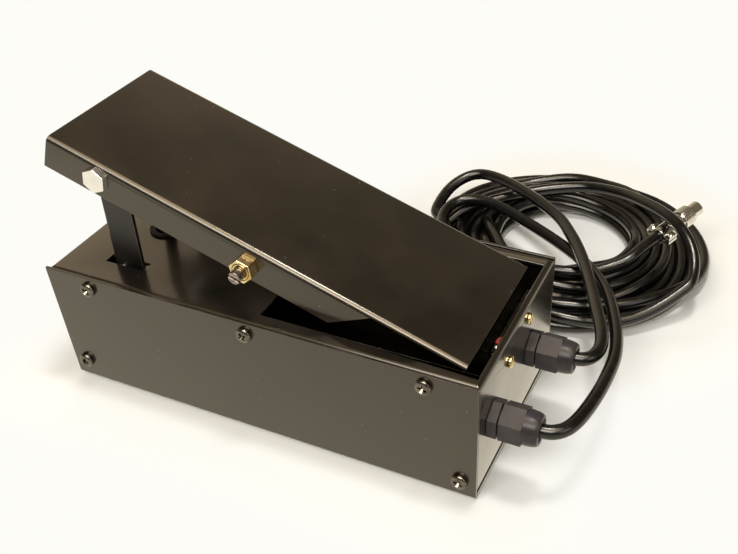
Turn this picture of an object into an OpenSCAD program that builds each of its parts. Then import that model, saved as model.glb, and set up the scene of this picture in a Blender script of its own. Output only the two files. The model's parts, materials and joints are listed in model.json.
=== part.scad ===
// Foot pedal of a tig welder: a sheet-metal base, a hinged tread on two legs, a sector rack that
// turns a potentiometer, a switch at the far leg, and two cords that lie in a coil behind the base.
// X runs from the toe end to the hinge, Y from the near side to the far side, Z up from the floor.

/* [Base] */
// Length of the base along its top
base_l = 220; // [200:1:250]
// Width over both side plates
base_w = 102; // [96:1:130]
// Height of the sheet-metal base without its feet
base_h = 62; // [58:1:70]
// How far the foot of the front wall stands back from its top
front_lean = 6.5; // [0:0.5:10]
// Sheet thickness of the shell and the bottom plate
sheet_t = 1.5; // [1:0.1:2]
// Inside radius of the base's bends
bend_r = 1.2; // [0.6:0.1:2]
// Width of the folded edges that the side plates are screwed to
fold_w = 14; // [12:1:18]
// Thickness of the side plates
side_t = 1.5; // [1:0.1:3]
// How far the side plates stand ahead of the front wall
side_lap = 0.8; // [0:0.1:2]
// Height of the rubber feet
foot_h = 2; // [2:0.5:6]
// Diameter of the rubber feet
foot_d = 14; // [10:1:18]

/* [Tread] */
// Width over the tread's flanges
tread_w = 80; // [76:1:84]
// How much shorter the tread is than the base
tread_short = 7; // [0:0.5:12]
// Sheet thickness of the tread
tread_t = 2; // [1.5:0.1:2.5]
// Depth of the tread's flanges
flange_d = 16.6; // [16:0.2:20]
// Inside radius of the tread's bends
tread_bend_r = 0.8; // [0.5:0.1:1.5]
// Slope of the tread at rest
tread_slope = 18.2; // [17:0.1:19]
// Angle that the tread turns through
travel = 7; // [5:0.5:7]
// Distance from the rear edge to the start of the flanges
flange_start = 45.5; // [40:0.5:55]
// Length of the slanted end of each flange
flange_slant = 16.8; // [10:0.2:24]

/* [Hinge] */
// Length of the hinge
hinge_l = 48; // [40:1:60]
// Outside diameter of the hinge knuckles
knuckle_d = 4.5; // [4:0.1:5]
// Diameter of the hinge pin
hinge_pin_d = 2.4; // [2:0.1:2.8]
// Thickness of the hinge leaves
leaf_t = 1.2; // [0.8:0.1:1.4]
// Gap between the hinge pin and the rear edge of the tread
rear_gap = 6.4; // [5:0.1:8]

/* [Legs] */
// Distance between the middles of the two legs
leg_span = 64; // [60:1:66]
// Width of the legs
leg_w = 16; // [14:0.5:18]
// Sheet thickness of the legs
leg_t = 2; // [1.5:0.1:2.5]
// Height of the ends of the legs above the bottom plate at rest
leg_rise = 27; // [24:0.5:30]
// Lean of the legs from upright
leg_lean = 2; // [0:0.5:4]
// Diameter of the cross bolt
bolt_d = 6.4; // [6:0.1:6.4]
// Distance from the toe edge to the cross bolt
bolt_in = 29; // [26:0.5:32]
// Depth of the cross bolt below the top of the tread
bolt_drop = 7; // [7:0.1:8]

/* [Drive] */
// Gear module of the rack and the pinion
gear_m = 1; // [0.9:0.1:1]
// Number of pinion teeth
pinion_n = 12; // [12:1:13]
// Thickness of the rack
rack_t = 5; // [4:0.5:6]
// Diameter of both potentiometer shafts
shaft_d = 6; // [5:0.1:6]
// Diameter of the potentiometer's case
pot_d = 17; // [15:0.5:18]
// Diameter of the push rod
rod_d = 6; // [5:0.5:7]
// Outside diameter of the return spring
spring_d = 16; // [14:0.5:17]
// Wire diameter of the return spring
wire_d = 1.8; // [1.4:0.1:2]
// Diameter of the switch roller
roller_d = 5; // [4:0.2:5.4]

/* [Cords] */
// Diameter of both cords
cord_d = 6.5; // [5.5:0.1:7]
// Width across the flats of the glands
gland_af = 16; // [15:0.5:17]
// Height of the glands above the floor
gland_z = 35; // [33:0.5:38]

/* [Hidden] */
$fn = 48;

// Clearances: fasteners in holes, running fits, gaps between pieces that move, cutting overlap
hole_gap = 0.15;
run_gap = 0.06;
move_gap = 0.3;
side_gap = 0.5;
cut = 1;
bend_steps = 5;

// Common sizes: screw ends that stand proud of their nuts, margins round holes in plates
thread_proud = 0.8;
plate_margin = 3;

// Glands: hex flange on the wall, neck inside the dome nut, thread through the wall
gland_flange_t = 4.5;
gland_nut_gap = 0.8;
gland_nut_l = 10;
gland_dome_l = 6.7;
gland_neck_l = 8;
gland_thread_l = 9;
gland_wall = 2;
gland_thread_d = gland_af - 2 * gland_wall;
gland_neck_d = gland_thread_d + 1;
gland_seal_d = cord_d + 2 * gland_wall;
gland_bore_gap = 0.5;
gland_lip = 1;
gland_lock_t = 4;
gland_lock_af = gland_af + 1;
gland_out = gland_flange_t + gland_nut_gap + gland_nut_l + gland_dome_l;

// Base planes; X = 0 is the middle of the object with its glands
rear_x = (base_l + side_lap - gland_out) / 2;
front_x = rear_x - base_l;
base_z = foot_h;
top_z = foot_h + base_h;
tray_z = base_z + sheet_t;
lid_z = top_z - sheet_t;
wall_x = rear_x - sheet_t;
shell_w = base_w - 2 * side_t;
lip_w = 12;
edge_r = 2.2;
gland_side = 16;
gland_near_y = gland_side - shell_w / 2;
gland_far_y = 17;

// Screws of the side plates, from the ends, the top and the bottom of a plate
side_screw_d = 4;
side_head_d = 7.6;
side_head_h = 2.4;
side_nut_af = 7;
side_nut_t = 3.2;
side_screw_l = side_t + sheet_t + side_nut_t + thread_proud;
side_spot_in = 24;
side_spot_top = 6;
side_spot_low = 8;
side_spot_toe = 9.5;
side_spot_front = 12.5;
side_spot_rear = 7.5;
side_spots = [
    [front_x + side_spot_in, top_z - side_spot_top],
    [front_x + base_l / 2, top_z - side_spot_top],
    [rear_x - side_spot_in, top_z - side_spot_top],
    [front_x + side_spot_front, base_z + side_spot_toe],
    [rear_x - side_spot_rear, base_z + side_spot_low]
];

// Bottom plate and feet
tray_gap = 0.4;
tray_fold_h = 12;
tray_fold_gap = 1;
tray_screw_l = 2 * sheet_t + 2;
tray_screw_d = 3;
tray_head_d = 5.6;
tray_head_h = 1.6;
tray_spot_y = 30;
foot_in = 24;
foot_side = 14;

// Hinge: the pin lies under the rear strip of the top
hinge_gap = 0.4;
pin_z = lid_z - knuckle_d / 2 - hinge_gap;
pin_x = wall_x - knuckle_d / 2 - hinge_gap / 2;
knuckle_n = 5;
knuckle_l = hinge_l / knuckle_n;
knuckle_side = 0.15;
leaf_play = 0.1;
pin_drop = tread_t + leaf_play;
moving_leaf_l = 26;
leaf_drop = 8.6;
tab_y = [-20, -4];
tab_drop = 17;
hinge_screw_d = 3;
hinge_head_d = 5.6;
hinge_head_h = 2;
hinge_screw_l = sheet_t + leaf_t + hinge_gap;
tab_spot_y = -13.5;
tab_spot_drop = 9.8;
leaf_spot_y = 11.5;
leaf_spot_drop = 4;
hinge_spots = [[tab_spot_y, pin_z - tab_spot_drop], [leaf_spot_y, pin_z - leaf_spot_drop]];

// Opening in the top for the tread's flanges
open_rear = rear_x - 3;
open_run = 56;
open_side = 2.5;
open_front = pin_x - (rear_gap + flange_start + open_run) * cos(tread_slope);
open_w = tread_w + 2 * open_side;

// Cross bolt in the tread's own frame, then at rest in the base's frame
tread_l = base_l - tread_short;
bolt_back = rear_gap + tread_l - bolt_in;
bolt_h = pin_drop - bolt_drop;
bolt_x = pin_x - bolt_back * cos(tread_slope) + bolt_h * sin(tread_slope);
bolt_z = pin_z + bolt_back * sin(tread_slope) + bolt_h * cos(tread_slope);
bolt_head_af = 11;
bolt_head_t = 3.6;
bolt_head_turn = 22;
cross_nut_af = 9.6;
cross_nut_t = 3.2;
bolt_proud = 1.5;
sleeve_wall = 1.2;
sleeve_d = bolt_d + 2 * sleeve_wall;
sleeve_gap = 0.3;

// Legs: the strap's own channel under the tread and the legs below it
leg_y = leg_span / 2;
leg_in = leg_y - leg_t / 2;
leg_out = leg_y + leg_t / 2;
yoke_l = 34;
yoke_d = bolt_drop - tread_t + leg_w / 2;
yoke_side = 3.5;
yoke_window = bolt_d + 2 * yoke_side;
leg_chamfer = 3;
leg_l = (bolt_z - tray_z - leg_rise) / cos(leg_lean);

// Middle of a leg at height z at rest, and a rest point turned with the tread
function leg_x(z) = bolt_x + (bolt_z - z) * tan(leg_lean);
function turned(p, a) = [
    pin_x + (p[0] - pin_x) * cos(a) - (p[1] - pin_z) * sin(a),
    pin_z + (p[1] - pin_z) * cos(a) + (p[0] - pin_x) * sin(a)
];
function crossing(p, q, z) = p[0] + (q[0] - p[0]) * (p[1] - z) / (p[1] - q[1]);

// Where the legs and the rod pass the top, at rest and with the tread down
leg_rest_x = leg_x(top_z);
leg_foot = [bolt_x + leg_l * sin(leg_lean), bolt_z - leg_l * cos(leg_lean)];
leg_down_x = crossing(turned([bolt_x, bolt_z], travel), turned(leg_foot, travel), top_z);
slot_gap = 1.6;
slot_x0 = min(leg_rest_x, leg_down_x) - leg_w / 2 - slot_gap;
slot_x1 = max(leg_rest_x, leg_down_x) + leg_w / 2 + slot_gap;
slot_side = 2;
slot_w = leg_t + 2 * slot_side;

// Stop pins under the top, in the front half of the legs
stop_d = 4;
stop_l = 12;
stop_z = lid_z - move_gap - stop_d / 2;
stop_in = 3.2;
stop_x = leg_x(stop_z) - leg_w / 2 + stop_in;

// Push rod, its grommet and collar
eye_wall = 1.5;
eye_d = bolt_d + 2 * eye_wall;
eye_w = 8;
rod_short = 6;
rod_l = leg_l - rod_short;
rod_hole_x = (leg_rest_x + leg_down_x) / 2;
grommet_gap = 1.3;
grommet_d = rod_d + abs(leg_rest_x - leg_down_x) + 2 * grommet_gap;
grommet_wall = 1.5;
grommet_lip = 1.5;
grommet_lip_t = 1.2;
collar_up = 13;
collar_down = rod_l - collar_up;
collar_d = spring_d + 2;
collar_t = 4;
collar_x = bolt_x + collar_down * sin(leg_lean);
collar_z = bolt_z - collar_down * cos(leg_lean);

// Return spring and its cup on the bottom plate
cup_floor = 1.2;
cup_h = 6;
cup_wall = 1.2;
cup_gap = 0.5;
spring_r = (spring_d - wire_d) / 2;
spring_z0 = tray_z + cup_floor;
spring_z1 = collar_z - collar_t / 2 - spring_d * sin(leg_lean) - move_gap;
spring_turns = 7;
spring_end = 0.12;
spring_rise = 0.84;
spring_steps = 20;
spring_sides = 8;

// Sector rack about the hinge pin: the pitch line stands a little behind the legs' rear edge
mesh_angle = 8.2;
rack_proud = 1.9;
rack_mid = 5;
rack_below = 15;
rack_r = (pin_x - leg_x(pin_z - rack_below)) / cos(rack_mid) - leg_w / 2 - rack_proud;
rack_add_share = 0.75;
rack_ded_share = 1.2;
rack_add = rack_add_share * gear_m;
rack_ded = rack_ded_share * gear_m;
rack_depth = 10;
backlash = 0.3;
pressure = 20;
rack_pitch = 180 * gear_m / rack_r;
rack_first = -1;
rack_last = ceil(travel / rack_pitch) + 1;
rack_screw_d = 3;
rack_head_d = 5.5;
rack_head_h = 2;
rack_screw_l = leg_t + rack_t - side_gap;
rack_spots = [mesh_angle - 0.2, mesh_angle - 5.2];
rack_spot_in = 6.5;
rack_spot_r = rack_r + rack_spot_in;

// Pinion, potentiometer and bracket, from the near leg inwards
pinion_r = pinion_n * gear_m / 2;
pinion_x = pin_x - (rack_r - pinion_r) * cos(mesh_angle);
pinion_z = pin_z - (rack_r - pinion_r) * sin(mesh_angle);
pinion_tip_share = 0.9;
pinion_root_share = 1.15;
pinion_w = rack_t + side_gap;
pinion_y0 = -leg_in + side_gap;
pinion_y1 = pinion_y0 + pinion_w;
pot_set_back = 5;
pot_y = pinion_y1 + pot_set_back;
plate_t = 1.5;
pot_case_l = 9;
bushing_wall = 1.5;
bushing_d = shaft_d + 2 * bushing_wall;
bushing_l = plate_t + pot_set_back - 2 * move_gap;
pot_nut_af = bushing_d + 2 * bushing_wall;
pot_nut_t = 2.5;
pot_plate_w = 24;
pot_plate_off = 3;
pot_plate_top = pinion_z + pot_d / 2 + plate_margin;
pot_foot_l = 12;
bracket_screw_d = 3;
bracket_head_d = 5.5;
bracket_head_h = 2;
pot_foot_in = 7.5;
switch_foot_in = 6.5;
foot_screw_side = 5;

// Trimming potentiometer on the near flange, in the tread's own frame
trim_in = 104.7;
trim_back = rear_gap + trim_in;
trim_drop = 9.4;
trim_h = pin_drop - trim_drop;
trim_case_d = 12;
trim_case_l = 8;
trim_bush_d = shaft_d + 2;
trim_nut_l = 6;
trim_nut_d = 12;
trim_out = 11;
trim_slot_w = 1.2;
trim_slot_d = 1.5;

// Switch behind the far leg: roller, lever and case
roller_r = roller_d / 2;
roller_w = 2.4;
roller_drop = 7;
roller_z = top_z - roller_drop;
roller_gap = 0.4;
roller_x = leg_x(roller_z) + leg_w / 2 / cos(leg_lean) + roller_gap + roller_r;
axle_d = 1.6;
lever_t = 0.8;
lever_tilt = 8;
lever_l = 17;
ear_t = 0.8;
ear_wall = 1;
lever_play = 0.2;
lever_w = roller_w + 2 * lever_play + 2 * ear_t;
roller_back = 0.7;
lever_off = roller_r + roller_back;
lever_x = roller_x + lever_l * sin(lever_tilt) + lever_off * cos(lever_tilt);
lever_z = roller_z - lever_l * cos(lever_tilt) + lever_off * sin(lever_tilt);
lever_pin_d = 1.2;
lever_eye_d = 2.6;
lug_t = 0.8;
lug_h = 3;
case_w = lever_w + 2 * lever_play + 2 * lug_t;
case_d = 10;
case_h = 20;
case_gap = 0.4;
case_x = lever_x + lever_eye_d / 2 + case_gap;
case_low = 3;
case_z = lever_z - case_low;
button_d = 2.4;
button_up = 6;
button_l = 6;
button_gap = 0.12;
button_low = button_up - button_d / 2;
button_x = lever_x - button_low * tan(lever_tilt) + lever_t / 2 / cos(lever_tilt) + button_gap;
switch_plate_y = leg_y + case_w / 2;
switch_plate_w = 24;
switch_plate_off = 4;
switch_plate_top = case_z + case_h + plate_margin;
switch_foot_l = 10;
switch_screw_d = 2;
switch_screw_l = case_w + plate_t + thread_proud;
switch_head_d = 3.8;
switch_head_h = 1.4;
switch_spots = [case_h / 4, 3 * case_h / 4];

// Cords: a straight stretch in each gland, then the way to the coil, and from the coil to a plug
cord_r = cord_d / 2;
cord_sides = 10;
gland_end = rear_x + gland_out;
cord_inside = 14;
cord_in = rear_x - cord_inside;
coil_at = [78, 150];
coil_gap = 0.5;
coil_in_r = 43.5;
coil_mid_r = coil_in_r + 3 * cord_d;
coil_out_r = coil_mid_r + coil_gap + 3 * cord_d;
near_route = [
    [127, -32.6, 35], [131.5, -27, 35], [134.3, -17, 34.8], [136.3, -3, 34.5], [137, 12, 33.5],
    [136.5, 28.5, 32.5], [133, 46, 31], [127, 64, 29], [120.5, 80, 27], [113.5, 93, 25], [106, 103.5, 23.5],
    [96, 113.5, 22.8], [79, 125.5, 22.5], [59, 137, 22.5], [42, 145.5, 22.8], [27, 150, 22.8],
    [15, 148.5, 21.5], [9, 139, 20], [10, 127, 18], [17, 116, 17], [29, 106, 17.5], [44, 101, 14]
];
far_route = [
    [126, 18.3, 35], [129.3, 24.5, 35], [128.8, 34, 35], [125, 46, 34.6], [119, 60, 33.5],
    [112.5, 76, 32], [105, 93, 31], [95, 112, 30.5], [86, 126, 30], [75, 140, 29.5], [52, 158, 28.5],
    [29, 172, 26.5], [13, 175, 24.5], [3, 164, 21], [0, 148, 16.5], [3, 130, 12]
];
near_tail_route = [[110, 106, 13], [116, 116, 17.5], [122, 128, 22.5], [126.6, 139, 24.3]];
far_tail_route = [[4, 152, 8], [0, 141, 5], [-6, 129, 4.2], [-7, 115, 5.2]];
plug_a_at = [130.5, 147.5, 24.8];
plug_a_turn = [0, -7, 65];
plug_b_at = [-4, 104, 6];
plug_b_turn = [0, 0, -53];

// Round plugs: saddle for the cord, body, and a neck that carries the coupling ring
saddle_d = 9.6;
saddle_l = 8.5;
saddle_ear = 7.5;
saddle_ear_l = 7;
saddle_ear_t = 2;
saddle_split = 0.3;
plug_d = 9.8;
plug_body_l = 10;
plug_neck_d = 8.4;
plug_ring_d = 11.6;
plug_ring_l = 8;
plug_front_l = 8;
plug_gap = 0.2;
plug_l = saddle_l + plug_body_l + plug_ring_l + 2 * plug_gap + plug_front_l;
insert_d = 6.6;
insert_l = 6;
insert_in = 1.5;
contact_d = 1.2;
contact_n = 5;
contact_r = 2;
plug_screw_d = 1.6;
plug_head_d = 3;
plug_head_h = 1.1;

// Profile of a bent sheet: the path is one face, the sheet lies to its left
function unit(a) = [cos(a), sin(a)];
function heading(p, q) = atan2(q[1] - p[1], q[0] - p[0]);
function turn(a, b) = (b - a + 540) % 360 - 180;
function reversed(v) = [for (i = [len(v) - 1 : -1 : 0]) v[i]];
function bend_points(p, a, b, t, r, off) =
    let (
        w = turn(a, b),
        s = sign(w),
        rc = s > 0 ? r + t : r,
        c = p - unit(a) * rc * tan(abs(w) / 2) + unit(a + 90 * s) * rc
    )
    [for (k = [0 : bend_steps]) c + unit(a - 90 * s + w * k / bend_steps) * (rc - s * off)];
function sheet_face(path, t, r, off) =
    let (n = len(path) - 1)
    [for (i = [0 : n])
        let (
            a = heading(path[max(i - 1, 0)], path[max(i, 1)]),
            b = heading(path[min(i, n - 1)], path[min(i + 1, n)])
        )
        each i == 0 || i == n ? [path[i] + unit(a + 90) * off] : bend_points(path[i], a, b, t, r, off)];
module bent_sheet(path, t, r) {
    polygon(concat(sheet_face(path, t, r, 0), reversed(sheet_face(path, t, r, t))));
}

// A side view drawn in X and Z, made w wide across Y
module across(w) {
    rotate([90, 0, 0])
        linear_extrude(w, center = true)
            children();
}

// A front view drawn in Y and Z, made l long towards +X
module along(l) {
    rotate([90, 0, 90])
        linear_extrude(l)
            children();
}

// A cylinder along +Y or +X from a point
module rod_y(d, l, at) {
    translate(at)
        rotate([-90, 0, 0])
            cylinder(d = d, h = l);
}
module rod_x(d, l, at) {
    translate(at)
        rotate([0, 90, 0])
            cylinder(d = d, h = l);
}

// A hexagon with the given width across its flats
module hex(af, h) {
    cylinder(d = af / cos(30), h = h, $fn = 6);
}

// The tread's frame: its origin is the hinge pin, -X points to the toe
module on_tread() {
    translate([pin_x, 0, pin_z])
        rotate([0, tread_slope, 0])
            children();
}

// A screw that points down -Z, with a domed pan head above Z = 0
module pan_screw(d, l, head_d, head_h) {
    translate([0, 0, -l])
        cylinder(d = d, h = l + head_h / 2);
    rotate_extrude()
        polygon(concat(
            [[0, 0], [head_d / 2, 0]],
            [for (k = [0 : bend_steps])
                [head_d / 4 * (1 + cos(90 * k / bend_steps)), head_h * (1 + sin(90 * k / bend_steps)) / 2]],
            [[0, head_h]]
        ));
}

// Base
base_path = [
    [rear_x - lip_w, tray_z], [rear_x, tray_z], [rear_x, top_z],
    [front_x, top_z], [front_x + front_lean, tray_z], [front_x + front_lean + lip_w, tray_z]
];
module side_fold() {
    difference() {
        polygon(sheet_face(base_path, sheet_t, bend_r, 0));
        polygon([
            [rear_x - fold_w, base_z - cut], [rear_x - fold_w, top_z - fold_w],
            [front_x + fold_w, top_z - fold_w], [front_x + front_lean + fold_w, base_z - cut]
        ]);
    }
}
module side_spots_at(side) {
    for (p = side_spots)
        translate([p[0], side * base_w / 2, p[1]])
            rotate([-90 * side, 0, 0])
                children();
}
module edge_cutter(side) {
    translate([front_x - cut, side * shell_w / 2, top_z])
        rotate([0, 90, 0])
            difference() {
                translate([-cut, side > 0 ? -edge_r : -cut, 0])
                    cube([edge_r + cut, edge_r + cut, base_l + 2 * cut]);
                translate([edge_r, -side * edge_r, -cut])
                    cylinder(r = edge_r, h = base_l + 4 * cut);
            }
}
module base_shell() {
    color("#2a2723")
        difference() {
            union() {
                across(shell_w) bent_sheet(base_path, sheet_t, bend_r);
                for (side = [-1, 1])
                    translate([0, side * (shell_w - sheet_t) / 2, 0])
                        across(sheet_t) side_fold();
            }
            for (side = [-1, 1]) {
                edge_cutter(side);
                side_spots_at(side)
                    translate([0, 0, -side_screw_l])
                        cylinder(d = side_screw_d + 2 * hole_gap, h = side_screw_l);
                translate([slot_x0, side * leg_y - slot_w / 2, lid_z - cut])
                    cube([slot_x1 - slot_x0, slot_w, sheet_t + 2 * cut]);
                tray_spots_at(side)
                    cylinder(d = tray_screw_d + 2 * hole_gap, h = 2 * sheet_t + cut);
            }
            translate([open_front, -open_w / 2, lid_z - cut])
                cube([open_rear - open_front, open_w, sheet_t + 2 * cut]);
            translate([rod_hole_x, 0, lid_z - cut])
                cylinder(d = grommet_d + 2 * grommet_wall, h = sheet_t + 2 * cut);
            for (y = [gland_near_y, gland_far_y])
                rod_x(gland_thread_d + 2 * hole_gap, sheet_t + 2 * cut, [wall_x - cut, y, gland_z]);
            for (p = hinge_spots)
                rod_x(hinge_screw_d + 2 * hole_gap, sheet_t + 2 * cut, [wall_x - cut, p[0], p[1]]);
        }
}

// Bottom plate under the shell's lips, with folded sides between the shell's own folds
module tray_spots_at(side) {
    for (x = [front_x + front_lean + lip_w / 2 + bend_r, rear_x - lip_w / 2 - bend_r])
        translate([x, side * tray_spot_y, base_z])
            children();
}
module base_tray() {
    tray_w = shell_w - 2 * tray_gap;
    tray_x = front_x + front_lean;
    fold_x = tray_x + fold_w + tray_fold_gap;
    fold_path = [
        [tray_w / 2, base_z + tray_fold_h], [tray_w / 2, base_z],
        [-tray_w / 2, base_z], [-tray_w / 2, base_z + tray_fold_h]
    ];
    color("#2a2723")
        difference() {
            union() {
                translate([tray_x, -tray_w / 2, base_z])
                    cube([rear_x - tray_x, tray_w, sheet_t]);
                translate([fold_x, 0, 0])
                    along(rear_x - fold_w - tray_fold_gap - fold_x)
                        bent_sheet(reversed(fold_path), sheet_t, bend_r);
            }
            for (side = [-1, 1])
                tray_spots_at(side)
                    translate([0, 0, -cut])
                        cylinder(d = tray_screw_d + 2 * hole_gap, h = sheet_t + 2 * cut);
            bracket_spots_at()
                translate([0, 0, -2 * sheet_t])
                    cylinder(d = bracket_screw_d + 2 * hole_gap, h = 2 * sheet_t);
        }
}
module side_plate(side) {
    color("#4a423a")
        difference() {
            translate([0, side * (base_w - side_t) / 2, 0])
                across(side_t)
                    polygon([
                        [front_x - side_lap, top_z], [front_x + front_lean - side_lap, base_z],
                        [rear_x, base_z], [rear_x, top_z]
                    ]);
            side_spots_at(side)
                translate([0, 0, -side_t - cut])
                    cylinder(d = side_screw_d + 2 * hole_gap, h = side_t + 2 * cut);
        }
}
module side_plate_near() { side_plate(-1); }
module side_plate_far() { side_plate(1); }
module side_screws() {
    color("silver")
        for (side = [-1, 1])
            side_spots_at(side)
                pan_screw(side_screw_d, side_screw_l, side_head_d, side_head_h);
}
module side_nuts() {
    color("silver")
        for (side = [-1, 1])
            side_spots_at(side)
                translate([0, 0, -side_t - sheet_t - side_nut_t])
                    difference() {
                        hex(side_nut_af, side_nut_t);
                        translate([0, 0, -cut])
                            cylinder(d = side_screw_d + 2 * hole_gap, h = side_nut_t + 2 * cut);
                    }
}
module tray_screws() {
    color("silver")
        for (side = [-1, 1])
            tray_spots_at(side)
                mirror([0, 0, 1])
                    pan_screw(tray_screw_d, tray_screw_l, tray_head_d, tray_head_h);
}
module rubber_feet() {
    color("#1c1c1c")
        for (x = [front_x + front_lean + foot_in, rear_x - foot_in], side = [-1, 1])
            translate([x, side * (shell_w / 2 - foot_side), 0])
                cylinder(d = foot_d, h = foot_h);
}

// Hinge: knuckles 0, 2 and 4 are the fixed leaf's, 1 and 3 the moving leaf's
module knuckles(first) {
    for (k = [first : 2 : knuckle_n - 1])
        rod_y(knuckle_d, knuckle_l - 2 * knuckle_side, [0, -hinge_l / 2 + k * knuckle_l + knuckle_side, 0]);
}
module knuckle_room(first) {
    for (k = [first : 2 : knuckle_n - 1])
        rod_y(knuckle_d + 2 * hinge_gap, knuckle_l, [0, -hinge_l / 2 + k * knuckle_l, 0]);
}
module pin_bore() {
    rod_y(hinge_pin_d + 2 * run_gap, hinge_l + 2 * cut, [0, -hinge_l / 2 - cut, 0]);
}
module hinge_fixed_leaf() {
    leaf_x = wall_x - pin_x;
    color("#8b8a86")
        difference() {
            translate([pin_x, 0, pin_z])
                difference() {
                    union() {
                        translate([leaf_x - leaf_t, -hinge_l / 2, -leaf_drop])
                            cube([leaf_t, hinge_l, leaf_drop]);
                        translate([leaf_x - leaf_t, tab_y[0], -tab_drop])
                            cube([leaf_t, tab_y[1] - tab_y[0], tab_drop]);
                        knuckles(0);
                    }
                    knuckle_room(1);
                    for (k = [1 : 2 : knuckle_n - 1])
                        translate([0, -hinge_l / 2 + k * knuckle_l, 0])
                            cube([leaf_x + cut, knuckle_l, knuckle_d]);
                    pin_bore();
                }
            for (p = hinge_spots)
                rod_x(hinge_screw_d + 2 * hole_gap, leaf_t + 2 * cut, [wall_x - leaf_t - cut, p[0], p[1]]);
        }
}
module hinge_moving_leaf() {
    color("#8b8a86")
        on_tread()
            difference() {
                union() {
                    translate([-moving_leaf_l, -hinge_l / 2, pin_drop - tread_t - leaf_t])
                        cube([moving_leaf_l, hinge_l, leaf_t]);
                    knuckles(1);
                }
                knuckle_room(0);
                for (k = [0 : 2 : knuckle_n - 1])
                    translate([-knuckle_d / 2, -hinge_l / 2 + k * knuckle_l, -knuckle_d])
                        cube([knuckle_d, knuckle_l, 2 * knuckle_d]);
                pin_bore();
            }
}
module hinge_pin() {
    color("silver")
        rod_y(hinge_pin_d, hinge_l, [pin_x, -hinge_l / 2, pin_z]);
}
module hinge_screws() {
    color("#c8a24a")
        for (p = hinge_spots)
            translate([rear_x, p[0], p[1]])
                rotate([0, 90, 0])
                    pan_screw(hinge_screw_d, hinge_screw_l, hinge_head_d, hinge_head_h);
}

// Tread and the parts bolted to it
module tread() {
    slant_end = flange_slant * (flange_d + cut - tread_t) / (flange_d - tread_t);
    path = [
        [tread_w / 2, pin_drop - flange_d], [tread_w / 2, pin_drop],
        [-tread_w / 2, pin_drop], [-tread_w / 2, pin_drop - flange_d]
    ];
    color("#33302a")
        on_tread()
            difference() {
                translate([-rear_gap - tread_l, 0, 0])
                    along(tread_l)
                        bent_sheet(path, tread_t, tread_bend_r);
                across(tread_w + 2 * cut)
                    polygon([
                        [-rear_gap - flange_start, pin_drop - tread_t],
                        [-rear_gap - flange_start - slant_end, pin_drop - flange_d - cut],
                        [cut, pin_drop - flange_d - cut], [cut, pin_drop - tread_t]
                    ]);
                rod_y(bolt_d + 2 * hole_gap, tread_w + 2 * cut, [-bolt_back, -tread_w / 2 - cut, bolt_h]);
                rod_y(trim_bush_d + 2 * hole_gap, tread_t + 2 * cut,
                    [-trim_back, -tread_w / 2 - cut, trim_h]);
            }
}
module leg_outline() {
    polygon([
        [-leg_w / 2, 0], [-leg_w / 2, leg_chamfer - leg_l], [leg_chamfer - leg_w / 2, -leg_l],
        [leg_w / 2 - leg_chamfer, -leg_l], [leg_w / 2, leg_chamfer - leg_l], [leg_w / 2, 0]
    ]);
}
module leg_yoke() {
    top = pin_drop - tread_t;
    shoulder = top - leg_t - tread_bend_r;
    strip_l = (yoke_l - yoke_window) / 2;
    path = [[leg_out, shoulder], [leg_out, top], [-leg_out, top], [-leg_out, shoulder]];
    color("#24221f")
        difference() {
            on_tread() {
                for (x = [-yoke_l / 2, yoke_window / 2])
                    translate([x - bolt_back, 0, 0])
                        along(strip_l)
                            bent_sheet(path, leg_t, tread_bend_r);
                for (side = [-1, 1])
                    translate([0, side * leg_y, 0])
                        across(leg_t) {
                            translate([-bolt_back - yoke_l / 2, top - yoke_d])
                                square([yoke_l, shoulder - top + yoke_d]);
                            translate([-bolt_back, bolt_h])
                                rotate(tread_slope + leg_lean)
                                    leg_outline();
                        }
            }
            rod_y(bolt_d + 2 * hole_gap, 2 * leg_out + 2 * cut, [bolt_x, -leg_out - cut, bolt_z]);
            rod_y(stop_d + 2 * run_gap, 2 * leg_out + 2 * cut, [stop_x, -leg_out - cut, stop_z]);
            rack_spots_at()
                rod_y(rack_screw_d + 2 * hole_gap, leg_t + 2 * cut, [0, -cut, 0]);
        }
}
module cross_bolt() {
    color("#b9bcc0")
        translate([bolt_x, -tread_w / 2, bolt_z]) {
            rotate([90, 0, 0])
                rotate(bolt_head_turn)
                    hex(bolt_head_af, bolt_head_t);
            rod_y(bolt_d, tread_w + bolt_proud, [0, 0, 0]);
        }
}
module cross_nut() {
    color("#b9bcc0")
        on_tread()
            translate([-bolt_back, leg_out, bolt_h])
                rotate([-90, 0, 0])
                    difference() {
                        hex(cross_nut_af, cross_nut_t);
                        translate([0, 0, -cut])
                            cylinder(d = bolt_d + 2 * hole_gap, h = cross_nut_t + 2 * cut);
                    }
}
module sleeve(y0, y1) {
    translate([bolt_x, 0, bolt_z])
        difference() {
            rod_y(sleeve_d, y1 - y0, [0, y0, 0]);
            rod_y(bolt_d + 2 * hole_gap, y1 - y0 + 2 * cut, [0, y0 - cut, 0]);
        }
}
module spacer_sleeves() {
    color("#9a9c9e") {
        sleeve(-tread_w / 2 + tread_t + sleeve_gap, -leg_out);
        sleeve(-leg_in, -eye_w / 2);
        sleeve(eye_w / 2, leg_in);
    }
}
module push_rod() {
    color("#9a9c9e")
        translate([bolt_x, 0, bolt_z])
            difference() {
                union() {
                    rod_y(eye_d, eye_w, [0, -eye_w / 2, 0]);
                    rotate([0, -leg_lean, 0])
                        translate([0, 0, -rod_l])
                            cylinder(d = rod_d, h = rod_l);
                }
                rod_y(bolt_d + 2 * hole_gap, eye_w + 2 * cut, [0, -eye_w / 2 - cut, 0]);
            }
}
module rod_collar() {
    color("#9a9c9e")
        translate([collar_x, 0, collar_z])
            rotate([0, -leg_lean, 0])
                difference() {
                    cylinder(d = collar_d, h = collar_t, center = true);
                    cylinder(d = rod_d + 2 * run_gap, h = collar_t + 2 * cut, center = true);
                }
}
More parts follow.
